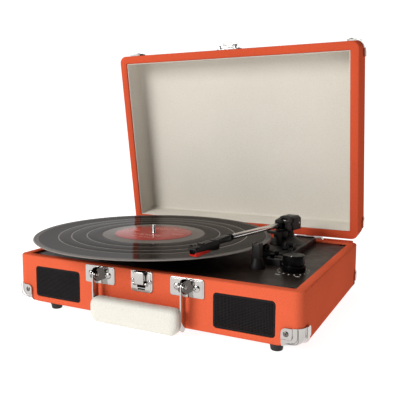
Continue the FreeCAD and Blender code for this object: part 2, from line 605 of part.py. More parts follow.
tongue = box(("tongue_left", "plate_front", "deck_z"),
             ("plate_right - tongue_left", "plate_step - plate_front + 1", "plate_top - deck_z"))
plate = box(("plate_left", "plate_step", "deck_z"),
            ("plate_right - plate_left", "plate_back - plate_step", "plate_top - deck_z"))
slots = [box(("speed_x - slot_w / 2", f"{y} - 2", "plate_top - 4"), ("slot_w", "4", "5"))
         for y in ("speed_y", "stop_y")]
cue_ears = [box((f"cue_x + {way} * 5.5 - 0.9", "cue_y - 4", "plate_top"),
                ("1.8", "8", "cue_z + 3 - plate_top")) for way in ("-1", "1")]
node("tonearm_base", cut(fuse(plate, tongue, *cue_ears), *slots,
                         rod(("cue_x - 8", "cue_y", "cue_z"), "1.2 + running", "16", "x"),
                         rod(("piv_x", "piv_y - bar_rad", "deck_z - 1"), "2.6", "9.5"),
                         rod(("piv_x", "piv_y", "deck_z - 1"), "3.6", "12")))
node("tonearm_turret", turned([("3 + running", "plate_top"), ("flare_rad", "plate_top"),
                               ("flare_rad - 2.5", "plate_top + 3.5"), ("turret_rad + 1", "plate_top + 8"),
                               ("turret_rad", "plate_top + 12"), ("turret_rad", "turret_top"),
                               ("3 + running", "turret_top")], ("piv_x", "piv_y", "0")))
post = turned([("0", "deck_z"), ("9", "deck_z"), ("8.6", "deck_z + 5"), ("6.2", "deck_z + 11"),
               ("0", "deck_z + 11")], ("post_x", "post_y", "0"))
post_stem = box(("post_x - 5", "post_y - 5", "deck_z + 10"), ("10", "10", "post_top - deck_z - 10"))
post_notch = box(("post_x - 3.5", "post_y - 6", "post_top - 3"), ("7", "12", "4"))
node("arm_rest_post", cut(fuse(post, post_stem), post_notch))

cue_hub = rod(("cue_x - 4.2", "cue_y", "cue_z"), "2.8", "8.4", "x")
cue_pin = rod(("cue_x - 6.2", "cue_y", "cue_z"), "1.2", "12.4", "x")
cue_arm = box(("cue_x - 2", "cue_y - 20", "cue_z - 1"), ("4", "20", "2"))
cue_tab = rod(("cue_x - 3", "cue_y - 20", "cue_z"), "2.2", "6", "x")
node("cue_lever", fuse(cue_hub, cue_pin, cue_arm, cue_tab))
stem = rod(("piv_x", "piv_y - bar_rad", "plate_top - 6"), "2.5", "bar_low - plate_top + 7")
sector = doc.addObject("Part::Cylinder", "Sector")
bind(sector, "Radius", "bar_rad + 2.5")
bind(sector, "Height", "bar_h")
bind(sector, "Angle", "52")
seat(sector, ("piv_x", "piv_y", "bar_low"), (0, 0, 1), "223")
node("cue_bar", fuse(stem, cut(sector, rod(("piv_x", "piv_y", "bar_low - 1"), "bar_rad - 2.5", "bar_h + 2"))))

# ---- tonearm, laid out about its pivot ----

yoke_low = "turret_top + 0.4 - arm_z"
floor_plate = box(("-22", "-10.5", yoke_low), ("34", "21", "1.6"))
cheeks = [box(("-22", f"{way} * 8.75 - 1.75", yoke_low), ("34", "3.5", "yoke_h")) for way in ("-1", "1")]
roof = box(("-22", "-10.5", f"{yoke_low} + yoke_h"), ("34", "21", "2.4"))
tail = box(("-24", "-10.5", yoke_low), ("3", "21", "yoke_h + 2.4"))
yoke_pin = rod(("0", "-9", "0"), "1.5", "18", "y")
yoke_shaft = rod(("0", "0", "plate_top + 1.5 - arm_z"), "3", "turret_top - plate_top")
node("arm_yoke", fuse(floor_plate, *cheeks, roof, tail, yoke_pin, yoke_shaft), "arm")

arm_hub = cut(rod(("0", "-5.5", "0"), "5", "11", "y"), rod(("0", "-6", "0"), "1.5 + running", "12", "y"))
tube = rod(("4.4", "0", "0"), "tube_rad", "tube_end - 4.4", "x")
node("arm_tube", fuse(arm_hub, tube), "arm")
neck = box(("tube_end", "-3.5", "-3"), ("shell_back - tube_end + 1", "7", "5"))
shell = box(("shell_back", "-shell_w / 2", "-9.5"), ("shell_front - shell_back", "shell_w", "10.5"))
shell_hollow = box(("shell_back + 5", "-shell_w / 2 + 1.2", "-10"), ("shell_front", "shell_w - 2.4", "9.3"))
finger = box(("shell_front - 14", "-shell_w / 2 - 10", "-0.6"), ("5", "11", "1.2"))
node("headshell", fuse(neck, cut(shell, shell_hollow), finger), "arm")
cartridge = box(("shell_back + 6", "-cart_w / 2", "-8"), ("shell_front - shell_back - 8", "cart_w", "7.2"))
node("cartridge", group(cartridge), "arm")
stylus_wedge = box(("shell_back + 13", "-cart_w / 2 + 0.4", "-8.9"),
                   ("shell_front - shell_back - 14", "cart_w - 0.8", "0.9"))
needle = cone(("needle_s", "0", "-10.7"), "0.25", "1", "2")
node("stylus_assembly", fuse(stylus_wedge, needle), "arm")

# ---- controls ----

knob_spot = ("knob_x", "knob_y", "0")
node("volume_pot", fuse(rod(("knob_x", "knob_y", "deck_z - deck_t - 8"), "8", "8"),
                        rod(("knob_x", "knob_y", "deck_z - deck_t"), "pot_rad", "12")))
node("volume_knob", turned([("pot_rad + running", "knob_low"), ("skirt_rad", "knob_low"),
                            ("skirt_rad", "skirt_top - 1"), ("skirt_rad - 1", "skirt_top"),
                            ("knob_rad", "skirt_top"),
                            ("knob_rad - 0.4", "knob_top - 1"), ("knob_rad - 1.4", "knob_top"),
                            ("0", "knob_top"), ("0", "knob_low + 11"),
                            ("pot_rad + running", "knob_low + 11")], knob_spot))


def slide_button(y):
    stem_block = box(("speed_x - 5.5", f"{y} - 1.6", "plate_top - 3.6"), ("4", "3.2", "4.2"))
    cap = box(("speed_x - 6.2", f"{y} - 3", "plate_top + 0.4"), ("5.4", "6", "3.2"))
    return fuse(stem_block, cap)


node("speed_switch", slide_button("speed_y"))
node("auto_stop_switch", slide_button("stop_y"))

doc.recompute()
bad = [o.Label for o in doc.Objects if "Invalid" in o.State or "Error" in o.State]
bad += [o.Label for o in nodes if o.Shape.isNull() or not o.Shape.isValid() or not o.Shape.Solids]
if bad:
    raise SystemExit("failed objects: " + ", ".join(bad))
os.makedirs("parts", exist_ok=True)
for piece in nodes:
    piece.Shape.exportStep(f"parts/{piece.Label}.step")
whole = Part.makeCompound([piece.Shape for piece in nodes]).BoundBox
print(len(nodes), "sub-parts, box", whole)
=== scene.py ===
import json
import math

import bmesh
import bpy
from mathutils import Matrix, Vector

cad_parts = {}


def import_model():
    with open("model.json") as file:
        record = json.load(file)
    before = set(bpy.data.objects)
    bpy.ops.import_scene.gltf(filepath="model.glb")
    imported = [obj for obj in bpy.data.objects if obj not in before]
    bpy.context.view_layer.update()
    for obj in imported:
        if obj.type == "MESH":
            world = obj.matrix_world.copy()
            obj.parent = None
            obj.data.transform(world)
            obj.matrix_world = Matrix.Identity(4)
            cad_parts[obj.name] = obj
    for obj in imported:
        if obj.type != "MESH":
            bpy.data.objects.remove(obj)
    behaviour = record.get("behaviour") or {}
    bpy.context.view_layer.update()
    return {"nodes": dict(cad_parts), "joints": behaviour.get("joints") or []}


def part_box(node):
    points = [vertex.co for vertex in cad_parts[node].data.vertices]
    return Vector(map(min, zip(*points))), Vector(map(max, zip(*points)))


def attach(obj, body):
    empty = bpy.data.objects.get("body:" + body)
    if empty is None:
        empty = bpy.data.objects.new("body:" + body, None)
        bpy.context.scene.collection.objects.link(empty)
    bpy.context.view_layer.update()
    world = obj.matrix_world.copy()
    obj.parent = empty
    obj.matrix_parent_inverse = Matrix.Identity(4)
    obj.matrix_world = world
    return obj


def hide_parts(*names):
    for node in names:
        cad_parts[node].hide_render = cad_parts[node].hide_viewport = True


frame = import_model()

# Looks for the suitcase record player. Pieces are laid out in millimetres in one of three layout frames, and
# then carried into the shared frame: "case" (middle of the case, on its support surface), "lid" (closed,
# about the hinge axis) and "arm" (about the arm pivot, +X towards the stylus).

# ---- layout frames ----

MM = 0.001
LID_OPEN = math.radians(81)
joints = {joint["name"]: joint for joint in frame["joints"]}


def span(node):
    """Lowest corner, highest corner and middle of a CAD node, in metres."""
    low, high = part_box(node)
    return low, high, (low + high) / 2


shell_low, shell_high, shell_mid = span("base_shell")
lift_axis = joints["arm_lift"]["axis"]
ARM_YAW = math.atan2(lift_axis[0], -lift_axis[1])
SCALE = Matrix.Scale(MM, 4)
LAYOUT = {
    "case": Matrix.Translation((shell_mid.x, shell_mid.y, 0)) @ SCALE,
    "lid": Matrix.Translation(joints["lid_hinge"]["pos_m"]) @ Matrix.Rotation(-LID_OPEN, 4, "X") @ SCALE,
    "arm": Matrix.Translation(joints["arm_lift"]["pos_m"]) @ Matrix.Rotation(ARM_YAW, 4, "Z") @ SCALE,
}


def local(node, where="case"):
    """A CAD node's lowest corner, highest corner and middle in a layout frame, in millimetres."""
    back = LAYOUT[where].inverted()
    points = [back @ v.co for v in frame["nodes"][node].data.vertices]
    low = Vector([min(p[i] for p in points) for i in range(3)])
    high = Vector([max(p[i] for p in points) for i in range(3)])
    return low, high, (low + high) / 2


def pivot(joint):
    """A joint's place in the case frame, in millimetres."""
    x, y, z = joints[joint]["pos_m"]
    return (x - shell_mid.x) / MM, (y - shell_mid.y) / MM, z / MM


def spindle_bore():
    low, high, _ = local("spindle")
    return (high.x - low.x) / 2 + 0.05


def label_radius():
    low, high, _ = local("record_label")
    return (high.x - low.x) / 2


# ---- sizes, in millimetres ----

CASE_W = (shell_high.x - shell_low.x) / MM
CASE_D = (shell_high.y - shell_low.y) / MM
FRONT = -CASE_D / 2
RIM_Z = shell_high.z / MM
BASE_Z = shell_low.z / MM
WALL = 11.0
CORNER = 10.0  # plan radius of the corners
BALL = 18.0  # plan radius where a corner meets the closed end
EDGE = 5.0  # rounding between the walls and the closed end
EDGE_AT_CORNER = 14.0
FADE = 10  # how far from a corner its rounder edge has faded out
RUNS = (2, 4, 6, 8, 10)
WALL_LEVELS = (0, 0.1, 0.35, 0.8, 1.5, 2.6, 4, 5.5, 7, 9, 11, 13.5, 16, 18)
CAP_REACH = 21.0
CAP_SKIN = 0.9
# The guards' pressed steps: from the vertical edge, from the closed end, bend radius and rise.
CAP_STEPS = ((4.0, 5.0, 5.0, 0.7), (9.8, 9.6, 3.0, 0.9))
TIP = 0.001  # radius of a turned profile's end on its axis
DISC = 151  # radius that the record's colours run over
TRACK_GAPS = (120, 104, 85.2)  # radii of the bare rings between tracks
QUARTERS = ((1, 1), (-1, 1), (-1, -1), (1, -1))  # signs of the corners, anticlockwise


# ---- materials ----

def srgb(red, green, blue):
    """Linear colour of an sRGB colour given out of 255."""
    def linear(c):
        c /= 255
        return c / 12.92 if c <= 0.04045 else ((c + 0.055) / 1.055) ** 2.4
    return (linear(red), linear(green), linear(blue), 1)


class Tree:
    """Short ways to add nodes to the node tree of a material or a world."""

    def __init__(self, owner):
        owner.use_nodes = True
        self.tree = owner.node_tree

    def feed(self, socket, value):
        """Gives an input a number, a vector or a colour, or links an output to it."""
        if isinstance(value, bpy.types.NodeSocket):
            self.tree.links.new(value, socket)
        else:
            socket.default_value = value

    def add(self, kind, inputs, output=0, **settings):
        """A new node's output. The inputs are given by name or by place."""
        node = self.tree.nodes.new("ShaderNode" + kind)
        for name, value in settings.items():
            setattr(node, name, value)
        for socket, value in inputs.items():
            self.feed(node.inputs[socket], value)
        return node.outputs[output]

    def math(self, kind, first, second):
        return self.add("Math", {0: first, 1: second}, operation=kind)


class Nodes(Tree):
    """A material's tree, round its Principled shader."""

    def __init__(self, name, roughness=0.5, metallic=0.0, **sockets):
        self.material = bpy.data.materials.new(name)
        super().__init__(self.material)
        self.shader = next(n for n in self.tree.nodes if n.type == "BSDF_PRINCIPLED")
        for socket, value in {"Roughness": roughness, "Metallic": metallic, **sockets}.items():
            self.put(socket.replace("_", " "), value)
        self.where = self.add("TexCoord", {}, "Object")

    def put(self, socket, value):
        """Feeds one of the shader's own sockets."""
        self.feed(self.shader.inputs[socket], value)
        return self

    def noise(self, scale, detail=3.0, stretch=None):
        where = self.where
        if stretch is not None:
            where = self.add("Mapping", {"Scale": stretch, "Vector": where})
        return self.add("TexNoise", {"Scale": scale, "Detail": detail, "Vector": where})

    def pebbles(self, scale):
        return self.add("TexVoronoi", {"Scale": scale, "Vector": self.where}, "Distance", feature="SMOOTH_F1")

    def ramp(self, value, *stops):
        node = self.tree.nodes.new("ShaderNodeValToRGB")
        elements = node.color_ramp.elements
        while len(elements) < len(stops):
            elements.new(0.5)
        for element, (place, colour) in zip(elements, stops):
            element.position = place
            element.color = colour if hasattr(colour, "__len__") else (colour, colour, colour, 1)
        self.feed(node.inputs["Fac"], value)
        return node.outputs["Color"]

    def mix(self, fac, first, second, **settings):
        return self.add("Mix", {0: fac, 6: first, 7: second}, 2, data_type="RGBA", **settings)

    def radius(self, middle):
        """Distance from a vertical axis, in metres."""
        away = self.add("VectorMath", {0: self.where, 1: middle}, operation="SUBTRACT")
        flat = self.add("VectorMath", {0: away, 1: (1, 1, 0)}, operation="MULTIPLY")
        return self.add("VectorMath", {0: flat}, "Value", operation="LENGTH")

    def bump(self, height, depth, strength=1.0):
        relief = {"Distance": depth, "Strength": strength, "Height": height}
        return self.put("Normal", self.add("Bump", relief, "Normal"))


def shade(colour, factor):
    return tuple(c * factor for c in colour[:3]) + (1,)


def grained(name, colour, grain, depth, roughness, spread=0.06, **sockets):
    """Vinyl covering: a pebbled grain, darker in the valleys, with soft broad variation."""
    m = Nodes(name, roughness, **sockets)
    pebble = m.pebbles(grain)
    tone = m.ramp(m.noise(9, 4), (0.3, shade(colour, 1 - spread)), (0.7, shade(colour, 1 + spread)))
    valleys = m.ramp(pebble, (0.35, 1.0), (0.9, 0.78))
    m.put("Base Color", m.mix(1, tone, valleys, blend_type="MULTIPLY"))
    m.put("Roughness", m.ramp(m.noise(40, 3), (0.3, roughness - 0.05), (0.7, roughness + 0.06)))
    return m.bump(m.math("ADD", pebble, m.math("MULTIPLY", m.noise(grain * 0.4, 3), 0.6)), depth).material


def metal(name, colour, roughness, brushed=None):
    """Plated or bare metal with faint wipe marks, brushed along an axis where a stretch is given."""
    streaks = 0.06
    m = Nodes(name, roughness, 1.0)
    marks = m.noise(60, 5, brushed)
    m.put("Base Color", m.ramp(marks, (0.25, shade(colour, 0.9)), (0.75, shade(colour, 1.04))))
    m.put("Roughness", m.ramp(marks, (0.3, max(0.03, roughness - streaks)), (0.7, roughness + streaks)))
    return m.bump(m.noise(400, 4, brushed), 0.000002, 0.1).material


def satin(name, colour, roughness, grain=1500, depth=0.00004, **sockets):
    """Moulded plastic with a fine spark-eroded texture."""
    m = Nodes(name, roughness, **sockets)
    m.put("Base Color", m.ramp(m.noise(30, 4), (0.3, shade(colour, 0.85)), (0.7, shade(colour, 1.2))))
    m.put("Roughness", m.ramp(m.noise(90, 4), (0.3, roughness - 0.05), (0.7, roughness + 0.07)))
    return m.bump(m.noise(grain, 3), depth, 0.6).material


def vinyl_disc():
    """Pressed vinyl: fine grooves in bands, with bare rings between tracks and at both ends painted lighter
    grey as a painted reflection.
    """
    m = Nodes("record_vinyl", 0.1, IOR=1.044)
    radius = m.radius(tuple(span("record_disc")[2]))
    share = m.math("MULTIPLY", radius, 1000 / DISC)
    # The grey of the bare rings and the lead-in is painted reflection; the vinyl itself is the dark colour.
    dark, bare, line = srgb(42, 36, 33), srgb(116, 109, 103), srgb(134, 128, 122)
    lead_in_sheen = srgb(98, 92, 88)
    stops = [(0.0, bare), (65.4, bare), (66.2, dark)]
    for gap in reversed(TRACK_GAPS):
        stops += [(gap - 0.7, dark), (gap - 0.5, line), (gap + 0.5, line), (gap + 0.7, dark)]
    stops += [(143.6, dark), (144.2, lead_in_sheen), (149.2, lead_in_sheen), (149.6, line)]
    m.put("Base Color", m.ramp(share, *[(at / DISC, colour) for at, colour in stops]))
    groove = m.math("SINE", m.math("MULTIPLY", radius, 9000), 0)
    m.put("Roughness", m.ramp(m.noise(25, 3), (0.3, 0.07), (0.7, 0.11)))
    return m.bump(groove, 0.000004, 0.2).material


def label_paper():
    m = Nodes("label_paper", 0.22, IOR=1.15)
    share = m.math("MULTIPLY", m.radius(tuple(span("record_disc")[2])), 20)
    paper = m.ramp(share, (0.0, srgb(160, 50, 42)), (0.92, srgb(154, 42, 36)), (0.95, srgb(128, 34, 30)))
    m.put("Base Color", m.mix(m.math("MULTIPLY", m.noise(300, 5), 0.35), paper, srgb(190, 110, 98)))
    return m.bump(m.noise(900, 4), 0.00003, 0.5).material


ORANGE = srgb(219, 97, 65)
FINISH = {
    "leatherette": grained("orange_leatherette", ORANGE, 1300, 0.00016, 0.5, Specular_IOR_Level=0.0),
    # the lid's covering: the base's leatherette painted darker, as painted shade
    "painted_shade_lid_leatherette": grained("orange_leatherette_lid_painted_shade", srgb(205, 84, 54), 1300, 0.00016, 0.5,
                               Specular_IOR_Level=0.0),
    "dull_plate": metal("dull_nickel_plate", (0.34, 0.33, 0.32, 1), 0.28),
    "lining": grained("lining_vinyl", srgb(216, 210, 198), 1700, 0.0001, 0.6, 0.03, Specular_IOR_Level=0.1),
    "cream": grained("grip_vinyl", srgb(223, 219, 208), 1500, 0.00001, 0.42, 0.006, Specular_IOR_Level=0.2),
    "chrome": metal("polished_chrome", (0.52, 0.5, 0.48, 1), 0.08),
    # a darker copy of the chrome: painted shade, for the bracket ears and the guards' beads and screws
    "shaded_chrome": metal("shaded_chrome", (0.17, 0.15, 0.14, 1), 0.1),
    "steel": metal("ground_steel", (0.62, 0.61, 0.6, 1), 0.22, (1, 1, 12)),
    "zinc": metal("zinc_plate", (0.7, 0.69, 0.66, 1), 0.3),
    "silver": metal("satin_aluminium", (0.72, 0.7, 0.68, 1), 0.2),
    "black_plastic": satin("satin_black_plastic", srgb(27, 24, 23), 0.4, IOR=1.28),
    "gloss_black": satin("gloss_black_plastic", srgb(9, 8, 8), 0.2, depth=0.000004, IOR=1.12),
    "deck_black": satin("deck_sheet", srgb(34, 26, 21), 0.34, 1100, 0.00005, IOR=1.24),
    "grille_black": satin("grille_paint", srgb(27, 24, 25), 0.6, IOR=1.2),
    "rubber": satin("black_rubber", srgb(26, 25, 25), 0.7),
    "vinyl": vinyl_disc(),
    "label_red": label_paper(),
    "board": satin("circuit_board", srgb(40, 86, 52), 0.4),
    "paper_cone": satin("speaker_paper", srgb(46, 44, 43), 0.85),
    "felt": satin("black_felt", srgb(34, 33, 33), 0.95, 2500, 0.0002),
    "red_plastic": satin("red_plastic", srgb(205, 36, 24), 0.3, IOR=1.35),
    "label_ink": satin("label_ink", srgb(214, 142, 130), 0.5),
    "white_ink": satin("white_ink", srgb(240, 237, 230), 0.6),
    "fibreboard": grained("grey_fibreboard", srgb(92, 86, 80), 700, 0.0002, 0.8),
}
NODE_FINISH = {
    "leatherette": ("base_shell", "lid_shell"),
    "lining": ("lid_lining",),
    "cream": ("handle_grip",),
    "chrome": ("handle_bracket_left", "handle_bracket_right", "bracket_screws", "handle_pivot_pins",
               "handle_strap_left", "handle_strap_right", "latch_plate", "latch_lever", "latch_screws",
               "corner_guards_base", "corner_guards_lid", "guard_screws_base", "guard_screws_lid",
               "lid_catch_plate", "lid_hasp"),
    "steel": ("spindle", "motor_pulley", "platter_bearing", "deck_screws"),
    "zinc": ("hinge_base_leaves", "hinge_pins", "hinge_lid_leaves", "motor"),
    "silver": ("arm_tube",),
    "black_plastic": ("rear_jack_plate", "audio_sockets", "dc_socket", "volume_pot", "arm_yoke", "headshell",
                      "cue_lever", "cue_bar", "arm_rest_post", "tonearm_turret", "speed_switch",
                      "auto_stop_switch", "cartridge", "tonearm_base"),
    "gloss_black": ("volume_knob",),
    "deck_black": ("deck_plate", "platter"),
    "grille_black": ("speaker_grille_left", "speaker_grille_right", "speaker_basket_left",
                     "speaker_basket_right"),
    "rubber": ("feet", "drive_belt"),
    "vinyl": ("record_disc",),
    "label_red": ("record_label",),
    "board": ("amplifier_board",),
    "paper_cone": ("speaker_cone_left", "speaker_cone_right"),
    "felt": ("platter_mat",),
    "red_plastic": ("stylus_assembly",),
    "fibreboard": ("bottom_panel",),
}
for finish, names in NODE_FINISH.items():
    for name in names:
        mesh = frame["nodes"][name].data
        mesh.materials.clear()
        mesh.materials.append(FINISH[finish])


# ---- shaping ----

def on_axis(axis, u, v, level):
    """A point at a level along an axis, with its other two coordinates in order."""
    return {"z": (u, v, level), "y": (u, level, v), "x": (level, u, v)}[axis]


class Shape:
    """A mesh being built in one layout frame, in millimetres."""

    def __init__(self):
        self.bm = bmesh.new()

    def faces_of(self, loops, closed=True, cap_low=True, cap_high=True):
        """Quads between successive loops of the same number of points, with end faces."""
        rows = [[self.bm.verts.new(p) for p in loop] for loop in loops]
        count = len(rows[0])
        for low, high in zip(rows, rows[1:]):
            for i in range(count if closed else count - 1):
                j = (i + 1) % count
                self.bm.faces.new((low[i], low[j], high[j], high[i]))
        if cap_low:
            self.bm.faces.new(list(reversed(rows[0])))
        if cap_high:
            self.bm.faces.new(rows[-1])
        return rows

    def slab(self, low, high, radius=0.4, segments=2):
        """A block with rounded edges."""
        low, high = Vector(low), Vector(high)
        made = bmesh.ops.create_cube(self.bm, size=1)["verts"]
        for v in made:
            v.co = Vector([(low[i] + high[i]) / 2 + v.co[i] * (high[i] - low[i]) for i in range(3)])
        if radius:
            edges = list(dict.fromkeys(e for v in made for e in v.link_edges))
            bmesh.ops.bevel(self.bm, geom=edges, offset=radius, segments=segments, profile=0.5,
                            affect="EDGES", clamp_overlap=True)

    def prism(self, outline, low, high, axis="z", edge=0.0):
        """An outline carried along an axis, with its far rim rounded over an edge width."""
        middle = [sum(p[k] for p in outline) / len(outline) for k in (0, 1)]

        def at(point, level, inset):
            u, v = point
            length = math.hypot(u - middle[0], v - middle[1]) or 1
            u -= (u - middle[0]) / length * inset
            v -= (v - middle[1]) / length * inset
            return on_axis(axis, u, v, level)

        levels = [(low, 0.0)]
        way, steps = (1 if high > low else -1), 3
        if edge:
            for turn in [math.radians(90) * k / steps for k in range(steps + 1)]:
                levels.append((high - way * edge * (1 - math.sin(turn)), edge * (1 - math.cos(turn))))
        else:
            levels.append((high, 0.0))
        self.faces_of([[at(p, level, inset) for p in outline] for level, inset in levels])
        return self

    def both_ways(self, outline, half, axis, edge):
        """A prism on each side of the middle plane, so that both of its rims are rounded."""
        for way in (-1, 1):
            self.prism(outline, 0, way * half, axis, edge)

    def lathe(self, profile, centre=(0, 0, 0), axis="z", steps=48):
        """A half profile of (radius, height) points turned about an axis through a point."""
        turns = [math.radians(360.0 * k / steps) for k in range(steps)]
        rings = [[Vector(on_axis(axis, r * math.cos(a), r * math.sin(a), height)) + Vector(centre)
                  for a in turns] for r, height in profile]
        self.faces_of(rings, cap_low=False, cap_high=False)
        bmesh.ops.remove_doubles(self.bm, verts=self.bm.verts[:], dist=0.0005)

    def rod(self, radius, low, high, centre=(0, 0, 0), axis="z", steps=24, cut=None):
        """A solid round bar along an axis. A cut takes its ends in by a width over a length."""
        profile = [(radius, low), (radius, high)]
        if cut:
            width, length = cut
            profile = [(radius - width, low), (radius, low + length), (radius, high - length),
                       (radius - width, high)]
        self.lathe([(TIP, low), *profile, (TIP, high)], centre, axis, steps)

    def tube(self, path, radius, steps):
        """A round bar along a path."""
        points = [Vector(p) for p in path]
        turns = [2 * math.pi * k / steps for k in range(steps)]
        side = None
        loops = []
        for i, point in enumerate(points):
            ahead = (points[min(i + 1, len(points) - 1)] - points[max(i - 1, 0)]).normalized()
            if side is None:
                across = Vector((0, 0, 1)) if abs(ahead.z) < 0.9 else Vector((1, 0, 0))
                side = ahead.cross(across).normalized()
            side = (side - ahead * side.dot(ahead)).normalized()
            up = ahead.cross(side)
            loops.append([point + side * radius * math.cos(a) + up * radius * math.sin(a) for a in turns])
        self.faces_of(loops)

    def wall(self, outline, thickness, low, high, axis="z"):
        """A bent strip: an open line of points given a thickness, between two levels along an axis."""
        left, right = [], []
        for i, point in enumerate(outline):
            a, b = outline[max(i - 1, 0)], outline[min(i + 1, len(outline) - 1)]
            run = Vector((b[0] - a[0], b[1] - a[1])).normalized() * thickness / 2
            left.append((point[0] - run.y, point[1] + run.x))
            right.append((point[0] + run.y, point[1] - run.x))
        self.prism(left + right[::-1], low, high, axis)


def rounded_rect(width, height, radius, centre=(0, 0), steps=5):
    """Points round a rectangle with rounded corners.

    The radius is one number or four, from the upper right, anticlockwise.
    """
    radii = radius if hasattr(radius, "__len__") else [radius] * 4
    points = []
    for k, ((sx, sy), r) in enumerate(zip(QUARTERS, radii)):
        middle = (centre[0] + sx * (width / 2 - r), centre[1] + sy * (height / 2 - r))
        points += arc(middle, r, 90 * k, 90 * k + 90, steps)
    return points


def arc(centre, radius, start, end, steps=8):
    return [(centre[0] + radius * math.cos(math.radians(start + (end - start) * i / steps)),
             centre[1] + radius * math.sin(math.radians(start + (end - start) * i / steps)))
            for i in range(steps + 1)]


def piece(name, shape, finish, body, where="case", stands_for=(), smooth=35):
    """Makes the object, carries it into the shared frame, and joins it to its body."""
    bm = shape.bm
    bmesh.ops.recalc_face_normals(bm, faces=bm.faces[:])
    mesh = bpy.data.meshes.new(name)
    bm.to_mesh(mesh)
    bm.free()
    mesh.transform(LAYOUT[where])
    mesh.materials.append(FINISH[finish])
    mesh.shade_smooth()
    mesh.set_sharp_from_angle(angle=math.radians(smooth))
    obj = bpy.data.objects.new(name, mesh)
    bpy.context.collection.objects.link(obj)
    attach(obj, body)
    if stands_for:
        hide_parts(*stands_for)


def screw_head(shape, at, radius, height, axis="y", way=-1):
    """A domed head with a raised cross, standing on a face."""
    profile = [(radius, 0), (radius, height * 0.25)]
    profile += [(radius * math.cos(a), height * (0.25 + 0.75 * math.sin(a))) for a in (0.35, 0.7, 1.05, 1.3)]
    profile.append((TIP, height))
    shape.lathe([(r, way * h) for r, h in profile], at, axis, 24)
    bar, deep, thick = radius * 0.62, radius * 0.16, 0.12
    middle = Vector(at) + Vector(on_axis(axis, 0, 0, way * height))
    for wide, tall in ((bar, deep), (deep, bar)):
        half = Vector(on_axis(axis, wide, tall, thick))
        shape.slab(middle - half, middle + half, 0)


# ---- speaker grilles ----

def perforated_grille(side):
    """A sheet punched with small holes, with a plain turned-back border."""
    low, high, mid = local(f"speaker_grille_{side}")
    width, height, thick = high.x - low.x, high.z - low.z, high.y - low.y
    pitch, hole, border = 1.55, 0.52, 3
    across, up = int((width - border) / pitch), int((height - border) / pitch)
    s = Shape()
    y = low.y

    def spoke(cx, cz, radius, eighths):
        a = math.radians(45) + math.pi / 4 * eighths
        return cx + radius * math.cos(a), cz + radius * math.sin(a)

    for i in range(across):
        for j in range(up):
            cx = mid.x + (i - (across - 1) / 2) * pitch
            cz = mid.z + (j - (up - 1) / 2) * pitch
            square = [spoke(cx, cz, pitch * 0.7071, 2 * k) for k in range(4)]
            edge = []
            for a, b in zip(square, square[1:] + square[:1]):
                edge += [a, ((a[0] + b[0]) / 2, (a[1] + b[1]) / 2)]
            inner = [spoke(cx, cz, hole, k) for k in range(8)]
            s.faces_of([[(u, y, v) for u, v in edge], [(u, y, v) for u, v in inner],
                        [(u, y + thick * 0.5, v) for u, v in inner]], cap_low=False, cap_high=False)
    outer = rounded_rect(width, height, 4, (mid.x, mid.z))
    inner = rounded_rect(across * pitch, up * pitch, 0.01, (mid.x, mid.z))
    s.faces_of([[(u, y + thick, v) for u, v in outer], [(u, y + 0.5, v) for u, v in outer],
                [(mid.x + (u - mid.x) * 0.99, y, mid.z + (v - mid.z) * 0.985) for u, v in outer],
                [(u, y, v) for u, v in inner]], cap_low=False, cap_high=False)
    piece(f"grille_mesh_{side}", s, "grille_black", "case", stands_for=(f"speaker_grille_{side}",))


for side in ("left", "right"):
    perforated_grille(side)


# ---- handle ----

def grip():
    """A moulded bar between the straps, whose ends round over, more below than above."""
    low, high, mid = local("handle_grip")
    first = local("handle_strap_left")[1].x + 0.1
    last = local("handle_strap_right")[0].x - 0.1
    end, stations, sides, power = 9.0, 9, 40, 2 / 3.1
    half_y = (high.y - low.y) / 2
    places = [first + end * (1 - math.cos(math.pi / 2 * k / stations)) for k in range(stations + 1)]
    places += [last - (p - first) for p in reversed(places)]
    loops = []
    for x in places:
        u = max(0.0, 1 - min(x - first, last - x) / end)
        fall = 1 - math.sqrt(max(0.0, 1 - u * u))
        bottom, top = low.z + 12 * fall, high.z - 5 * fall
        depth, height = half_y * (1 - 0.42 * fall), max((top - bottom) / 2, 0.4)
        turns = [2 * math.pi * k / sides for k in range(sides)]
        loops.append([(x, mid.y + depth * math.copysign(abs(math.cos(a)) ** power, math.cos(a)),
                       (bottom + top) / 2 + height * math.copysign(abs(math.sin(a)) ** power, math.sin(a)))
                      for a in turns])
    s = Shape()
    s.faces_of(loops)
    piece("padded_grip", s, "cream", "handle", stands_for=("handle_grip",), smooth=60)


def handle_bracket(side):
    """A pressed plate with a raised field, and the two ears that hold the strap's pin."""
    low, high, mid = local(f"handle_bracket_{side}")
    width, height, sheet = high.x - low.x, 20.2, 1.2
    centre, face = (mid.x, high.z - height / 2), FRONT - sheet
    s = Shape()
    s.prism(rounded_rect(width, height, 2.2, centre), FRONT - 0.02, face, "y", 0.55)
    s.prism(rounded_rect(width - 3.4, height - 3.6, 1.6, centre), face, face - 0.25, "y", 0.22)
    _, py, pz = pivot("handle_swing")
    ear = [(FRONT - 1, pz + 6.4), (py + 1.2, pz + 6.4), (py + 0.4, pz + 6.0), (py - 4.3, pz + 1.6),
           (py - 4.8, pz + 0.6), (py - 4.8, pz - 2.2), (py - 4.3, pz - 3.2), (py + 1.0, pz - 8.0),
           (py + 2.0, pz - 8.4), (FRONT - 1, pz - 8.4)]
    ears = Shape()
    for x in (mid.x - 2.35, mid.x + 2.35):
        ears.prism(ear, x - 0.65, x + 0.65, "x")
    # The ears are in the darker copy of the chrome: painted shade.
    piece(f"bracket_{side}_ears", ears, "shaded_chrome", "case", smooth=15)
    piece(f"bracket_{side}", s, "chrome", "case", stands_for=(f"handle_bracket_{side}",), smooth=15)


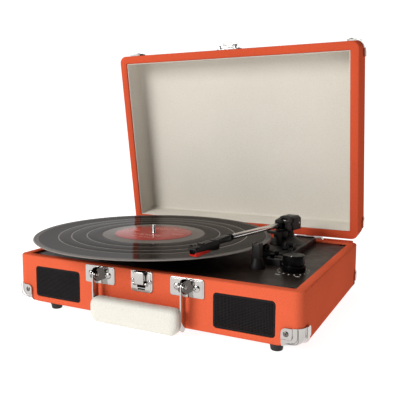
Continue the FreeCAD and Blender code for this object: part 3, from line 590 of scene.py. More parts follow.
def straps():
    """Two flat bars with round ends, from the pivot pins to the ends of the grip."""
    for side in ("left", "right"):
        low, high, mid = local(f"handle_strap_{side}")
        half = (high.y - low.y) / 2
        outline = arc((mid.y, high.z - half), half, 0, 180, 12)
        outline += arc((mid.y, low.z + half), half, 180, 360, 12)
        s = Shape()
        for face in (high.x, low.x):
            s.prism(outline, mid.x, face, "x", 0.3)
        piece(f"strap_{side}", s, "chrome", "handle", stands_for=(f"handle_strap_{side}",))


def pins_and_screws():
    """The brackets' screw heads, and the pins with a collar at each end."""
    _, high, mid = local("bracket_screws")
    _, py, pz = pivot("handle_swing")
    half_pin = [(TIP, 4.4), (1.5, 4.4), (2.1, 4.1), (2.3, 3.4), (1.6, 3.3)]
    heads, pins = Shape(), Shape()
    for side in ("left", "right"):
        x = local(f"handle_bracket_{side}")[2].x
        for way in (-1, 1):
            screw_head(heads, (x + way * 11.4, high.y - 0.2, mid.z), 3.9, 2.0)
        pins.lathe([(r, -h) for r, h in half_pin] + half_pin[::-1], (x, py, pz), "x", 20)
    piece("bracket_screw_heads", heads, "chrome", "case", stands_for=("bracket_screws",))
    piece("handle_pins", pins, "chrome", "case", stands_for=("handle_pivot_pins",))


grip()
for side in ("left", "right"):
    handle_bracket(side)
straps()
pins_and_screws()


# ---- latch ----

def latch():
    """A folded back plate with two cheeks, and the hollow lever that turns between them."""
    low, high, mid = local("latch_plate")
    face = high.y
    width, height = high.x - low.x, high.z - low.z
    centre = (mid.x, mid.z)
    s = Shape()
    s.prism(rounded_rect(width, height, (1.2, 1.2, 4.2, 4.2), centre), face, face - 1.2, "y", 0.5)
    s.prism(rounded_rect(width - 4, height - 4, (0.8, 0.8, 3, 3), centre), face - 1.2, face - 1.55, "y", 0.3)
    l_low, l_high, l_mid = local("latch_lever")
    cheek = [(face - 1.4, l_low.z + 5)] + arc((face - 3.6, l_low.z + 1.9), 2.2, 100, 290, 10)
    cheek += [(face - 1.4, l_low.z - 1.4)]
    for way in (-1, 1):
        x = l_mid.x + way * ((l_high.x - l_low.x) / 2 - 0.3)
        s.prism(cheek, x - 0.5, x + 0.5, "x")
    piece("latch_back_plate", s, "chrome", "case", stands_for=("latch_plate",))
    # Thin dark plates stand for the slots: painted shade in the openings.
    dark = Shape()
    dark.prism(rounded_rect(10.5, 3.6, 0.6, (mid.x, l_low.z - 1.3)), face - 1.5, face - 1.72, "y")
    dark.prism(rounded_rect(9, 1.5, 0.5, (mid.x, low.z + 3.6)), face - 1.5, face - 1.72, "y")
    piece("latch_slots_painted_shade", dark, "gloss_black", "case")
    half = (l_high.x - l_low.x) / 2 - 2.0
    left, right = l_mid.x - half, l_mid.x + half
    lever = Shape()
    lever.slab((left, l_low.y, l_low.z + 1.2), (right, l_high.y - 0.6, l_high.z), 1.1, 3)
    lever.slab((left + 0.5, l_high.y - 2.4, l_high.z - 2.4), (right - 0.5, l_high.y, l_high.z - 0.2), 0.5, 2)
    lever.rod(1.2, l_low.x, l_high.x, (0, *pivot("latch_lever")[1:]), "x", 16, (0.2, 0.3))
    piece("latch_lever_box", lever, "chrome", "latch", stands_for=("latch_lever",))
    screws = Shape()
    for way in (-1, 1):
        screw_head(screws, (mid.x + way * 10.9, face - 1.5, 53), 2.3, 1.2)
    piece("latch_screw_heads", screws, "chrome", "case", stands_for=("latch_screws",))


latch()


# ---- case and lid ----

def near_ends(length):
    """Places along a straight wall where its edge's rounding changes."""
    return (*RUNS, *(length - run for run in reversed(RUNS)))


def smooth_step(value, low, high):
    t = min(1.0, max(0.0, (value - low) / (high - low)))
    return t * t * (3 - 2 * t)


def plan_radius(height):
    """Corner radius of the outline at a height above the closed end, where the corners round into a ball."""
    u = max(0.0, 1 - height / BALL)
    return CORNER + (BALL - CORNER) * (1 - math.sqrt(1 - u * u))


def on_case(spot, outward, height, beyond, end, way, lift=0.0):
    """A wall point taken in round the edge of the closed end, and then lifted off the surface.

    The edge is rounder near a corner. The distance beyond is how far the point is from the start of its arc.
    """
    share = smooth_step(1 - beyond / FADE, 0, 1)
    radius = EDGE + (EDGE_AT_CORNER - EDGE) * share
    rise = max(0.0, radius - height) / radius
    level = math.sqrt(max(0.0, 1 - rise * rise))
    out = lift * level - radius * (1 - level)
    return (spot[0] + outward[0] * out, spot[1] + outward[1] * out, end + way * (height - lift * rise))


def case_ring(height, middle_y, end, way, steps=10):
    """Outer loop of the case at a height above its closed end."""
    radius = plan_radius(height)
    mx, my = CASE_W / 2 - radius, CASE_D / 2 - radius
    loop = []
    for corner, (sx, sy) in enumerate(QUARTERS):
        turns = [math.radians(90 * corner + 90 * i / steps) for i in range(steps + 1)]
        for out in [(math.cos(a), math.sin(a)) for a in turns]:
            spot = (sx * mx + radius * out[0], middle_y + sy * my + radius * out[1])
            loop.append(on_case(spot, out, height, 0, end, way))
        along = ((-1, 0), (0, -1), (1, 0), (0, 1))[corner]
        out = ((0, 1), (-1, 0), (0, -1), (1, 0))[corner]
        length = 2 * (mx if corner % 2 == 0 else my)
        first = (sx * mx + radius * out[0], middle_y + sy * my + radius * out[1])
        for run in near_ends(length):
            spot = (first[0] + along[0] * run, first[1] + along[1] * run)
            loop.append(on_case(spot, out, height, min(run, length - run), end, way))
    return loop


def outline_at(inset, level, radius, middle_y, steps=10):
    """Points round the case at one level, as many as in a case ring."""
    ring = rounded_rect(CASE_W - 2 * inset, CASE_D - 2 * inset, radius, (0, middle_y), steps)
    points = []
    for i, (p, q) in enumerate(zip(ring, ring[1:] + ring[:1])):
        points.append(p)
        if i % (steps + 1) == steps:
            gap = math.hypot(q[0] - p[0], q[1] - p[1])
            points += [(p[0] + (q[0] - p[0]) * far / gap, p[1] + (q[1] - p[1]) * far / gap)
                       for far in near_ends(gap)]
    return [(x, y, level) for x, y in points]


def wall_loops(middle_y, rim, end, way):
    """Outer loops of a wall from its closed end to its rounded rim. The way is +1 where the rim is above."""
    loops = [case_ring(height, middle_y, end, way) for height in WALL_LEVELS]
    for inset, drop, radius in ((0, 1.6, CORNER), (0.25, 0.8, CORNER - 0.25), (0.8, 0.25, CORNER - 0.8),
                                (1.6, 0, CORNER - 1.6), (WALL - 1.3, 0, 1.2), (WALL - 0.5, 0.3, 0.8),
                                (WALL, 1.1, 0.5)):
        loops.append(outline_at(inset, rim - way * drop, radius, middle_y))
    return loops


def cutter(shape):
    """A loose object with a shape's mesh, for a boolean."""
    mesh = bpy.data.meshes.new("cutter")
    bmesh.ops.recalc_face_normals(shape.bm, faces=shape.bm.faces[:])
    shape.bm.to_mesh(mesh)
    shape.bm.free()
    obj = bpy.data.objects.new("cutter", mesh)
    bpy.context.collection.objects.link(obj)
    return obj


def carved(shape, cutters):
    """The shape with the cutters taken out of it."""
    body = cutter(shape)
    tools = [cutter(c) for c in cutters]
    for tool in tools:
        change = body.modifiers.new("cut", "BOOLEAN")
        change.object = tool
        change.operation = "DIFFERENCE"
        change.solver = "EXACT"
    result = bpy.data.meshes.new_from_object(body.evaluated_get(bpy.context.evaluated_depsgraph_get()))
    for obj in [body] + tools:
        bpy.data.objects.remove(obj)
    done = Shape()
    done.bm.from_mesh(result)
    return done


def base_case():
    """The base's covered box, open for the speakers and the jack plate."""
    s = Shape()
    loops = wall_loops(0, RIM_Z, BASE_Z, 1)
    loops.append(outline_at(WALL, BASE_Z, 0.5, 0))
    rows = s.faces_of(loops, cap_low=False, cap_high=False)
    inner, outer = rows[-1], rows[0]
    for i in range(len(outer)):
        j = (i + 1) % len(outer)
        s.bm.faces.new((inner[i], inner[j], outer[j], outer[i]))
    tools = []

    def opening(node, inset, radius, near, far, steps=4):
        low, high, mid = local(node)
        outline = rounded_rect(high.x - low.x - inset, high.z - low.z - inset, radius, (mid.x, mid.z), steps)
        tools.append(Shape().prism(outline, near, far, "y"))

    for side in ("left", "right"):
        opening(f"speaker_grille_{side}", -0.3, 4.1, FRONT - 3, FRONT + 2, 6)
        opening(f"speaker_grille_{side}", 4.7, 3, FRONT + 1, FRONT + 14)
    opening("rear_jack_plate", -0.3, 1.5, -FRONT - 14, -FRONT + 3)
    piece("case_cover", carved(s, tools), "leatherette", "case", stands_for=("base_shell",))


def lid_case():
    """The lid's covered tray, laid out closed, with its open side below."""
    low, high, mid = local("lid_shell", "lid")
    s = Shape()
    loops = wall_loops(mid.y, low.z, high.z, -1)
    loops.append(outline_at(WALL, high.z - 6, 0.5, mid.y))
    s.faces_of(loops)
    # The lid's covering is the darker copy of the leatherette: painted shade.
    piece("lid_cover", s, "painted_shade_lid_leatherette", "lid", "lid", stands_for=("lid_shell",))


def lid_tray():
    """The lining: a shallow tray with soft inner corners and a pale turned-over edge."""
    low, high, mid = local("lid_lining", "lid")
    width, depth = high.x - low.x, high.y - low.y
    edge, fillet, steps = 1.2, 3.5, 6

    def at(inset, level, radius=0.6):
        outline = rounded_rect(width - 2 * inset, depth - 2 * inset, radius, (0, mid.y))
        return [(x, y, level) for x, y in outline]

    loops = [at(0.2, high.z - 0.1), at(0, low.z + 0.3), at(0.2, low.z), at(edge - 0.3, low.z),
             at(edge, low.z + 0.4)]
    floor = high.z - edge
    for a in [math.radians(90) * k / steps for k in range(steps + 1)]:
        loops.append(at(edge + fillet * (1 - math.cos(a)), floor - fillet + fillet * math.sin(a),
                        0.8 + 1.2 * math.cos(a)))
    s = Shape()
    s.faces_of(loops)
    piece("lid_tray", s, "lining", "lid", "lid", stands_for=("lid_lining",), smooth=50)


def stepped(p, q):
    """Outward height of the pressed steps at p from the vertical edge and q from the closed end."""
    def inside(a, b, bend):
        u, v = max(bend - (p - a), 0), max(bend - (q - b), 0)
        return bend - math.hypot(u, v) if (u or v) else min(p - a, q - b, bend)
    return sum(rise * smooth_step(inside(a, b, bend), -0.5, 0.5) for a, b, bend, rise in CAP_STEPS)


def corner_cap(s, sx, sy, middle_y, end, way):
    """A pressed metal cap over one ball corner. The way is +1 where the closed end is below."""
    half_x, half_y = CASE_W / 2, CASE_D / 2
    rows, across, round_corner, tip = 46, 26, 14, 5
    near = [k / across for k in range(across + 1)]
    columns = [("front", t) for t in near] + [("arc", k / round_corner) for k in range(1, round_corner)]
    columns += [("side", t) for t in reversed(near)]

    def point(kind, value, row, on):
        top = CAP_REACH
        if kind != "arc":
            run = value * (CAP_REACH - CORNER)
            top -= tip - math.sqrt(tip ** 2 - (tip - run) ** 2) if run < tip else 0
        height = top * row ** 1.3
        radius = plan_radius(height)
        lift, beyond = CAP_SKIN * on, 0.0
        if kind == "arc":
            a = math.radians(90 * (1 - value))
            nx, ny = math.cos(a), math.sin(a)
            x, y = half_x - radius + radius * nx, half_y - radius + radius * ny
        else:
            p = CAP_REACH - value * (CAP_REACH - radius)
            beyond = p - radius
            lift = on * (CAP_SKIN + stepped(p, height))
            nx, ny = (0, 1) if kind == "front" else (1, 0)
            x, y = (half_x - p, half_y) if kind == "front" else (half_x, half_y - p)
        spot, out = (sx * x, middle_y + sy * y), (sx * nx, sy * ny)
        return Vector(on_case(spot, out, height, beyond, end, way, lift))

    loops = []
    for n, level in enumerate([1.0] + [1 - k / rows for k in range(rows + 1)]):
        lip = 0.0 if n == 0 else 1.0
        loops.append([point(*columns[0], level, 0.0), *(point(*column, level, lip) for column in columns),
                      point(*columns[-1], level, 0.0)])
    inner = Vector((sx * (half_x - CAP_REACH), middle_y + sy * (half_y - CAP_REACH)))
    last = loops[-1]
    for share in (0.1, 0.3, 0.6, 0.98):
        loops.append([Vector((*(p.xy + (inner - p.xy) * share), end - way * CAP_SKIN)) for p in last])
    s.faces_of(loops, closed=False, cap_low=False, cap_high=False)


def cap_beads(s, sx, sy, middle_y, end, way):
    """Pressed beads round a guard's plateaus, in the darker chrome that paints shade along the steps: the
    larger's on the front, the smaller's on both faces.
    """
    for (a, b, bend, _), lift, thick, faces in ((CAP_STEPS[1], 1.7, 0.42, (True, False)),
                                                (CAP_STEPS[0], 1.1, 0.3, (True,))):
        path = [(CAP_REACH - 0.4, b)] + arc((a + bend, b + bend), bend, 270, 180, 8) + [(a, CAP_REACH - 0.4)]
        for front in faces:
            points = []
            for p, q in path:
                x, y = (CASE_W / 2 - p, CASE_D / 2) if front else (CASE_W / 2, CASE_D / 2 - p)
                out = (0, sy) if front else (sx, 0)
                spot = (sx * x, middle_y + sy * y)
                points.append(on_case(spot, out, q, p - plan_radius(q), end, way, lift))
            s.tube(points, thick, 8)


def corner_caps(name, node, screws, middle_y, end, way, body):
    """The four guards of the base or the lid, with their beads and screws."""
    s, heads = Shape(), Shape()
    for sx in (-1, 1):
        for sy in (-1, 1):
            corner_cap(s, sx, sy, middle_y, end, way)
            cap_beads(heads, sx, sy, middle_y, end, way)
            spot = (sx * (CASE_W / 2 - 15.8), middle_y + sy * (CASE_D / 2 + 2.3), end + way * 15.2)
            screw_head(heads, spot, 2.9, 1.1, "y", sy)
    piece(name, s, "chrome", body, body, stands_for=(node,), smooth=40)
    # The beads and screws are in the darker copy of the chrome: painted shade.
    piece(f"{name}_screws", heads, "shaded_chrome", body, body, stands_for=(screws,))


def hinge_strip():
    """The rolled cloth edge behind the rim, between the two hinges and outside them."""
    _, high, mid = local("hinge_pins")
    s = Shape()
    inner, outer, side = 93.0, high.x + 1.0, CASE_W / 2 - 7
    for a, b in ((-inner, inner), (outer, side), (-side, -outer)):
        s.rod(1.3, a, b, (0, mid.y, mid.z - 1), "x", 20, (0.2, 0.3))
    # In the lid's darker copy of the covering: painted shade.
    piece("hinge_strip", s, "painted_shade_lid_leatherette", "case")


def lining_binding():
    """A thin pale bead where the lining meets the rim."""
    low, high, mid = local("lid_lining", "lid")
    outline = rounded_rect(high.x - low.x - 1.2, high.y - low.y - 1.2, 1.6, (0, mid.y))
    s = Shape()
    s.tube([(x, y, low.z - 0.1) for x, y in outline + outline[:1]], 0.55, 8)
    piece("lining_bead", s, "cream", "lid", "lid")


base_case()
lid_case()
lid_tray()
hinge_strip()
lining_binding()
_, lid_high, lid_mid = local("lid_shell", "lid")
corner_caps("base_corners", "corner_guards_base", "guard_screws_base", 0, BASE_Z, 1, "case")
corner_caps("lid_corners", "corner_guards_lid", "guard_screws_lid", lid_mid.y, lid_high.z, -1, "lid")


# ---- record ----

def record():
    low, high, mid = local("record_disc")
    top, bottom = high.z, low.z
    outer = (high.x - low.x) / 2
    bore = spindle_bore()
    label = label_radius()
    bead, lane = 0.35, 66
    profile = [(bore, bottom + 0.1), (label, bottom + 0.1), (outer - 8, bottom + 0.3), (outer - 1.6, bottom),
               (outer - 0.5, bottom + 0.35), (outer, (top + bottom) / 2), (outer - 0.5, top - 0.25),
               (outer - 1.6, top), (outer - 2.6, top - bead * 0.6), (outer - 4.0, top - bead)]
    level = top - bead
    for gap in (*TRACK_GAPS, lane):
        profile += [(gap + 0.9, level), (gap + 0.5, level - 0.03), (gap - 0.5, level - 0.03),
                    (gap - 0.9, level)]
    profile += [(label + 2.5, level), (label + 0.6, top - 0.08), (label, top - 0.05), (bore, top - 0.05)]
    s = Shape()
    s.lathe(profile + profile[:1], (mid.x, mid.y, 0), "z", 192)
    piece("record_pressing", s, "vinyl", "turntable", stands_for=("record_disc",), smooth=20)


def record_label():
    low, high, mid = local("record_label")
    outer, bore, top = label_radius(), spindle_bore(), high.z
    s = Shape()
    s.lathe([(bore, low.z), (outer, low.z), (outer, top - 0.06), (outer - 0.2, top), (18.2, top),
             (17.6, top - 0.05), (16.6, top - 0.05), (16, top), (bore + 0.3, top), (bore, top - 0.1),
             (bore, low.z)], (mid.x, mid.y, 0), "z", 96)
    piece("paper_label", s, "label_red", "turntable", stands_for=("record_label",), smooth=30)


def label_print():
    """Rows of plain dashes where a label has its print, with no lettering."""
    _, high, mid = local("record_label")
    gap, height, proud = 1.6, 1.2, 0.03
    s = Shape()
    for y, left, lengths in ((31, -17, (6, 4, 7, 5, 6)), (25, -13, (5, 8, 6)), (5, -41, (6, 8)),
                             (1, -41, (9, 4)), (5, 25, (8, 6)), (1, 25, (5, 8)),
                             (-14, -21, (7, 5, 8, 4, 9)), (-19, -18, (5, 8, 4, 7, 6)), (-30, -14, (8, 6, 9))):
        for length in lengths:
            x, z = mid.x + left, high.z
            s.slab((x, mid.y + y, z - proud), (x + length, mid.y + y + height, z + proud), 0)
            left += length + gap
    piece("label_dashes", s, "label_ink", "turntable")


record()
record_label()
label_print()


# ---- spindle, knob, deck marks and feet ----

def spindle_pin():
    low, high, mid = local("spindle")
    radius, pin, top, dome = (high.x - low.x) / 2, 2.3, high.z, 1.2
    profile = [(TIP, low.z), (radius, low.z), (radius, top - 11.6), (pin + 0.2, top - 11.0),
               (pin, top - 10.6), (pin, top - dome)]
    profile += [(pin - dome + dome * math.cos(a), top - dome + dome * math.sin(a))
                for a in (0.4, 0.8, 1.2, 1.5)]
    profile.append((TIP, top))
    s = Shape()
    s.lathe(profile, (mid.x, mid.y, 0), "z", 40)
    piece("spindle_pin", s, "steel", "turntable", stands_for=("spindle",), smooth=50)


def volume_control():
    """A knob with a smooth skirt and a fluted grip, and the pointer on its top."""
    low, high, mid = local("volume_knob")
    skirt = (high.x - low.x) / 2
    grip_radius = skirt - 0.9
    shoulder, top = low.z + 7.4, high.z
    steps, flutes, flute = 120, 30, 0.1

    def ring(radius, level, depth=0.0):
        points = []
        for k in range(steps):
            r = radius - depth * (0.5 + 0.5 * math.cos(2 * math.pi * flutes * k / steps)) ** 2
            a = 2 * math.pi * k / steps
            points.append((mid.x + r * math.cos(a), mid.y + r * math.sin(a), level))
        return points

    s = Shape()
    s.faces_of([ring(*at) for at in (
        (skirt - 2, low.z), (skirt - 0.5, low.z), (skirt, low.z + 0.6), (skirt, shoulder - 1.6),
        (skirt - 0.3, shoulder - 0.6), (skirt - 1.5, shoulder - 0.2), (skirt - 1.5, shoulder + 0.3),
        (grip_radius, shoulder + 0.6, flute), (grip_radius - 0.1, top - 1.2, flute),
        (grip_radius - 0.35, top - 0.4), (grip_radius - 0.9, top - 0.05), (grip_radius - 1.6, top),
        (0.4, top - 0.1))])
    piece("volume_dial", s, "gloss_black", "volume", stands_for=("volume_knob",), smooth=40)
    mark = Shape()
    y = mid.y - grip_radius
    mark.slab((mid.x - 0.45, y + 1.6, top - 0.4), (mid.x + 0.45, y + 5.6, top + 0.02), 0.15, 2)
    piece("volume_pointer", mark, "white_ink", "volume")


def deck_marks():
    """Plain ticks round the volume knob, with no lettering, and the deck's screws."""
    deck = local("deck_plate")[1].z
    knob = local("volume_knob")[2]
    s = Shape()
    for angle in range(-140, 141, 20):
        a = math.radians(-90 + angle)
        for k in range(3 if -60 < angle < 60 else 1):
            r = 17.2 + 0.9 * k
            x, y = knob.x + r * math.cos(a), knob.y + r * math.sin(a)
            s.lathe([(TIP, deck + 0.06), (0.57, deck + 0.05), (0.6, deck)], (x, y, 0), "z", 10)
    for x in (knob.x - 11, knob.x + 11):
        s.slab((x - 2.6, knob.y - 22.8, deck), (x + 2.6, knob.y - 21.7, deck + 0.06), 0)
    piece("knob_ticks", s, "white_ink", "case")
    heads = Shape()
    for x, y in grid_of("deck_screws", 3):
        screw_head(heads, (x, y, deck - 1.5), 3.0, 1.2, "z", 1)
    piece("deck_screw_heads", heads, "gloss_black", "case", stands_for=("deck_screws",))


def grid_of(node, inset):
    """The places of four like pieces that one CAD node holds, at an inset from its sides."""
    low, high, _ = local(node)
    return [(x, y) for x in (low.x + inset, high.x - inset) for y in (low.y + inset, high.y - inset)]


def rubber_feet():
    top, radius = local("feet")[1].z, 7.4
    s = Shape()
    for x, y in grid_of("feet", 6.5):
        s.lathe([(TIP, 0.9), (1.6, 0.9), (1.9, 0.3), (2.6, 0.0), (radius - 1.9, 0.0), (radius - 1.3, 0.5),
                 (radius - 0.5, top - 1.6), (radius, top - 1.2), (radius, top), (TIP, top)],
                (x, y, 0), "z", 36)
    piece("rubber_feet", s, "rubber", "case", stands_for=("feet",))


spindle_pin()
volume_control()
deck_marks()
rubber_feet()


# ---- tonearm ----

def arm_tower():
    """The moulded yoke: a chamfered housing, lower cheeks in front, and a round body under them."""
    low, high, _ = local("arm_yoke", "arm")
    top, floor = high.z, -8.5
    back, step, front = low.x + 1.6, -2.0, high.x
    half = (high.y - low.y) / 2
    s = Shape()
    section = [(-half, floor), (half, floor), (half, top - 3.2), (half - 2.6, top - 1.2),
               (-half + 2.6, top - 1.2), (-half, top - 3.2)]
    s.prism(section, back + 4, back, "x", 0.8)
    cheek = [(back + 2, floor), (step, floor), (step, top - 1.4), (back + 2, top - 1.4)]
    arm = [(step - 1, floor + 0.4), (front - 3.4, floor + 0.4), (front, floor + 4.4), (front, top - 5.6),
           (front - 2, top - 4.2), (step - 1, top - 2.4)]
    roof = [(step - 1, top - 4.4), (front - 1.0, top - 6.2), (front - 1.4, top - 4.4), (step - 1, top - 2.2)]
    for way in (-1, 1):
        for outline, inner, outer, edge in ((cheek, half - 3.4, half, 0.9), (arm, 5.9, half - 1.2, 0.8),
                                            (roof, 4.4, half - 0.9, 0.4)):
            s.prism(outline, way * inner, way * outer, "y", edge)
    lid = [(-half + 0.6, top - 3.4), (half - 0.6, top - 3.4), (half - 2.4, top - 0.6), (half - 3.4, top),
           (-half + 3.4, top), (-half + 2.4, top - 0.6)]
    for end in (step, back + 1.0):
        s.prism(lid, step - 3, end, "x", 0.6)
    s.slab((back + 1, -half + 1, floor), (front - 4, half - 1, floor + 1.7), 0.5, 2)
    half_pin = [(TIP, half + 0.05), (1.6, half + 0.05), (2.2, half - 0.3), (2.2, half - 4), (1.4, half - 4)]
    s.lathe([(r, -h) for r, h in half_pin] + half_pin[::-1], (0, 0, 0), "y", 20)
    s.rod(3.0, low.z, floor + 0.2)
    ring, hub = 13.0, 0.1
    outer = [p for p in arc((11, 0), 9.3, -120, 120, 30) if math.hypot(*p) > ring + hub]
    reach = math.degrees(math.atan2(outer[-1][1], outer[-1][0]))
    s.prism(outer + arc((0, 0), ring, reach, -reach, 12), floor + 0.6, -16.0, "z", 1.0)
    piece("arm_tower", s, "black_plastic", "yoke", "arm", stands_for=("arm_yoke",))
    dot = Shape()
    screw_head(dot, (back + 4.6, half - 0.1, top - 9.4), 1.2, 0.6, "y", 1)
    piece("arm_tower_screw", dot, "zinc", "yoke", "arm")


def arm_bar():
    """The light tube on its cross pin, with a block behind and a collar at the head."""
    radius, end = 3.2, local("arm_tube", "arm")[1].x
    s = Shape()
    s.lathe([(TIP, 4.5), (radius - 0.4, 4.5), (radius, 5), (radius, end - 0.4), (radius - 0.3, end),
             (TIP, end)], (0, 0, 0), "x", 40)
    s.rod(5.0, -5.4, 5.4, axis="y", steps=32, cut=(0.5, 0.5))
    block = Shape()
    block.slab((6.5, -4.0, -4.6), (19, 4.0, 4.4), 1.0, 3)
    block.slab((8, -3.2, 4.0), (14, 3.2, 5.2), 0.5, 2)
    piece("arm_block", block, "gloss_black", "tonearm", "arm")
    piece("arm_bar", s, "silver", "tonearm", "arm", stands_for=("arm_tube",), smooth=50)
    collar = Shape()
    collar.lathe([(radius + r, end + x) for r, x in ((0.05, -5.2), (0.55, -5.0), (0.7, -4.2), (0.7, -0.6),
                                                     (0.4, 0.1), (-0.2, 0.2))], (0, 0, 0), "x", 32)
    piece("arm_collar", collar, "gloss_black", "tonearm", "arm")


def head():
    """Neck, sloping shell with a curled finger lift, cartridge body and red stylus guard."""
    neck_start = local("arm_tube", "arm")[1].x
    back, front, half = 148.5, local("headshell", "arm")[1].x - 2.6, 4.6
    s = Shape()
    neck = [(neck_start + 0.1, 3.0), (neck_start + 0.1, -3.6), (back + 2, -3.4), (back + 4, 1.6),
            (neck_start + 8, 3.6), (neck_start + 3, 3.6)]
    s.both_ways(neck, 3.6, "y", 0.5)
    for y in (-4.4, 4.4):
        s.slab((neck_start + 2, y - 0.8, -2.6), (back + 1, y + 0.8, 1.4), 0.5, 2)
    side = [(back - 0.5, 1.2), (back + 3, 2.2), (back + 20, 1.8), (front - 10, 0.0), (front - 3.5, -1.4),
            (front - 0.8, -2.4), (front, -3.8), (front - 0.4, -5.4), (front - 2.4, -6.2), (front - 20, -6.6),
            (back + 15, -7.4), (back + 12, -8.6), (back + 4, -9.0), (back + 0.6, -8.2), (back - 0.5, -3)]
    s.both_ways(side, half, "y", 0.8)
    curl = [(front - 4.2, -1.0)] + arc((front - 1.4, -3.0), 2.4, 130, 0)
    s.wall(curl, 1.0, -half - 0.4, half + 0.4, "y")
    lift = [(front - 10, -0.2), (front - 6.5, -0.7), (front - 4.5, -0.3), (front - 3.2, 0.8)]
    s.wall(lift, 1.1, -half - 2.2, -half + 1, "y")
    for x in (back + 5, front - 17):
        s.slab((x, -half + 1.4, 0.0), (x + 5.5, half - 1.4, 3.0 - (x - back) * 0.04), 0.3, 1)
    piece("head_cover", s, "black_plastic", "tonearm", "arm", stands_for=("headshell",))
    body = Shape()
    low, high, _ = local("cartridge", "arm")
    body.slab(low, high, 0.5, 2)
    body.slab((low.x - 3, -2.8, low.z + 0.6), (low.x + 1, 2.8, low.z + 4.6), 0.4, 2)
    for y in (-1.9, -0.6, 0.6, 1.9):
        body.tube([(low.x - 5.5, y, low.z + 3.0), (low.x - 2, y, low.z + 3.0)], 0.35, 8)
    piece("cartridge_body", body, "gloss_black", "tonearm", "arm", stands_for=("cartridge",))
    low, high, _ = local("stylus_assembly", "arm")
    tip, base, heel = high.x, high.z, low.x
    wedge = [(tip - 2.4, base + 1.9), (tip - 1.2, base + 0.4), (tip - 2.6, base - 2.3),
             (tip - 5.0, base - 2.7), (tip - 9, base - 2.6), (tip - 20, base - 1.6), (heel + 3.5, base - 0.9),
             (heel + 3, base + 0.6), (heel + 7, base + 1.6)]
    guard = Shape()
    guard.both_ways(wedge, 4.4, "y", 0.5)
    piece("stylus_guard", guard, "red_plastic", "tonearm", "arm", stands_for=("stylus_assembly",))


def arm_base():
    """The moulded support on the deck: a plate with a raised lip, slots, humps and cue lever posts."""
    low, high, _ = local("tonearm_base")
    left, right, front, back, top = low.x, high.x, low.y, high.y, 70.0
    tongue, step = 106.0, 0.0
    outline = [(left + 3, step + 1), (left, step + 6), (left, back - 4), (left + 4, back), (right - 4, back),
               (right, back - 4), (right, front + 4), (right - 4, front), (tongue + 3, front),
               (tongue, front + 3), (tongue, step - 4), (tongue - 4, step + 1)]
    s = Shape()
    s.prism(outline, low.z, top - 0.6, "z", 0.8)
    s.slab((right - 2.6, front + 4, top - 1.5), (right - 0.3, back - 5, top + 0.9), 0.6, 3)
    s.slab((left + 2, back - 2.6, top - 1.5), (right - 3, back - 0.6, top + 0.9), 0.6, 3)
    cx, cy, cz = pivot("cue_lever_turn")
    ear = [(cy - 4, top - 1)] + arc((cy, cz), 3.4, 180, 0) + [(cy + 4, top - 1)]
    for x in (cx - 5.5, cx + 5.5):
        s.prism(ear[::-1], x - 0.9, x + 0.9, "x", 0.2)
    hump = [(-9, 0), (-7.5, 5), (-3, 8.4), (2, 8.6), (5, 6), (7, 0)]
    s.prism([(step + 14 + u, top - 1 + v * 0.8) for u, v in hump][::-1], left + 2, left + 9, "x", 0.6)
    piece("arm_support", s, "black_plastic", "case", stands_for=("tonearm_base",))
    # Thin gloss black plates round the switch caps stand for their slots: painted shade in the openings.
    slots = Shape()
    for name in ("speed_switch", "auto_stop_switch"):
        slots.prism(rounded_rect(14.6, 5.2, 0.8, (115, local(name)[2].y)), top - 0.65, top - 0.5, "z")
    piece("switch_slots_painted_shade", slots, "gloss_black", "case")
    low, high, mid = local("tonearm_turret")
    turret = Shape()
    rings = [(3.1, low.z)] + [(11 + 15 * (1 - k / 10) ** 2, low.z + 13 * (k / 10)) for k in range(11)]
    rings += [(10.6, high.z - 0.8), (9.8, high.z), (3.1, high.z), (3.1, low.z)]
    turret.lathe(rings, (mid.x, mid.y, 0), "z", 72)
    for v in turret.bm.verts:
        v.co.x = max(v.co.x, left + 0.4) if v.co.z < low.z + 9 else v.co.x
    piece("arm_turret", turret, "black_plastic", "case", stands_for=("tonearm_turret",))


def rest_post():
    """A waisted foot with a forked top."""
    low, high, mid = local("arm_rest_post")
    base, neck, thick = (high.x - low.x) / 2, 11.5, 4.9
    s = Shape()
    s.lathe([(TIP, low.z), (base, low.z), (base, low.z + 1.4), (base - 0.5, low.z + 4.5),
             (base - 2.2, low.z + 9), (base - 3.2, low.z + neck), (TIP, low.z + neck)],
            (mid.x, mid.y, 0), "z", 48)
    crown = high.z - 1.2
    prong = [(4.9, low.z + 9), (4.9, crown + 0.6), (4.3, high.z), (3.0, high.z), (2.2, crown - 0.2)]
    fork = [(mid.x - u, v) for u, v in prong] + [(mid.x + u, v) for u, v in reversed(prong)]
    for way in (-1, 1):
        s.prism(fork, mid.y, mid.y + way * thick, "y", 0.7)
    piece("rest_post", s, "black_plastic", "case", stands_for=("arm_rest_post",))


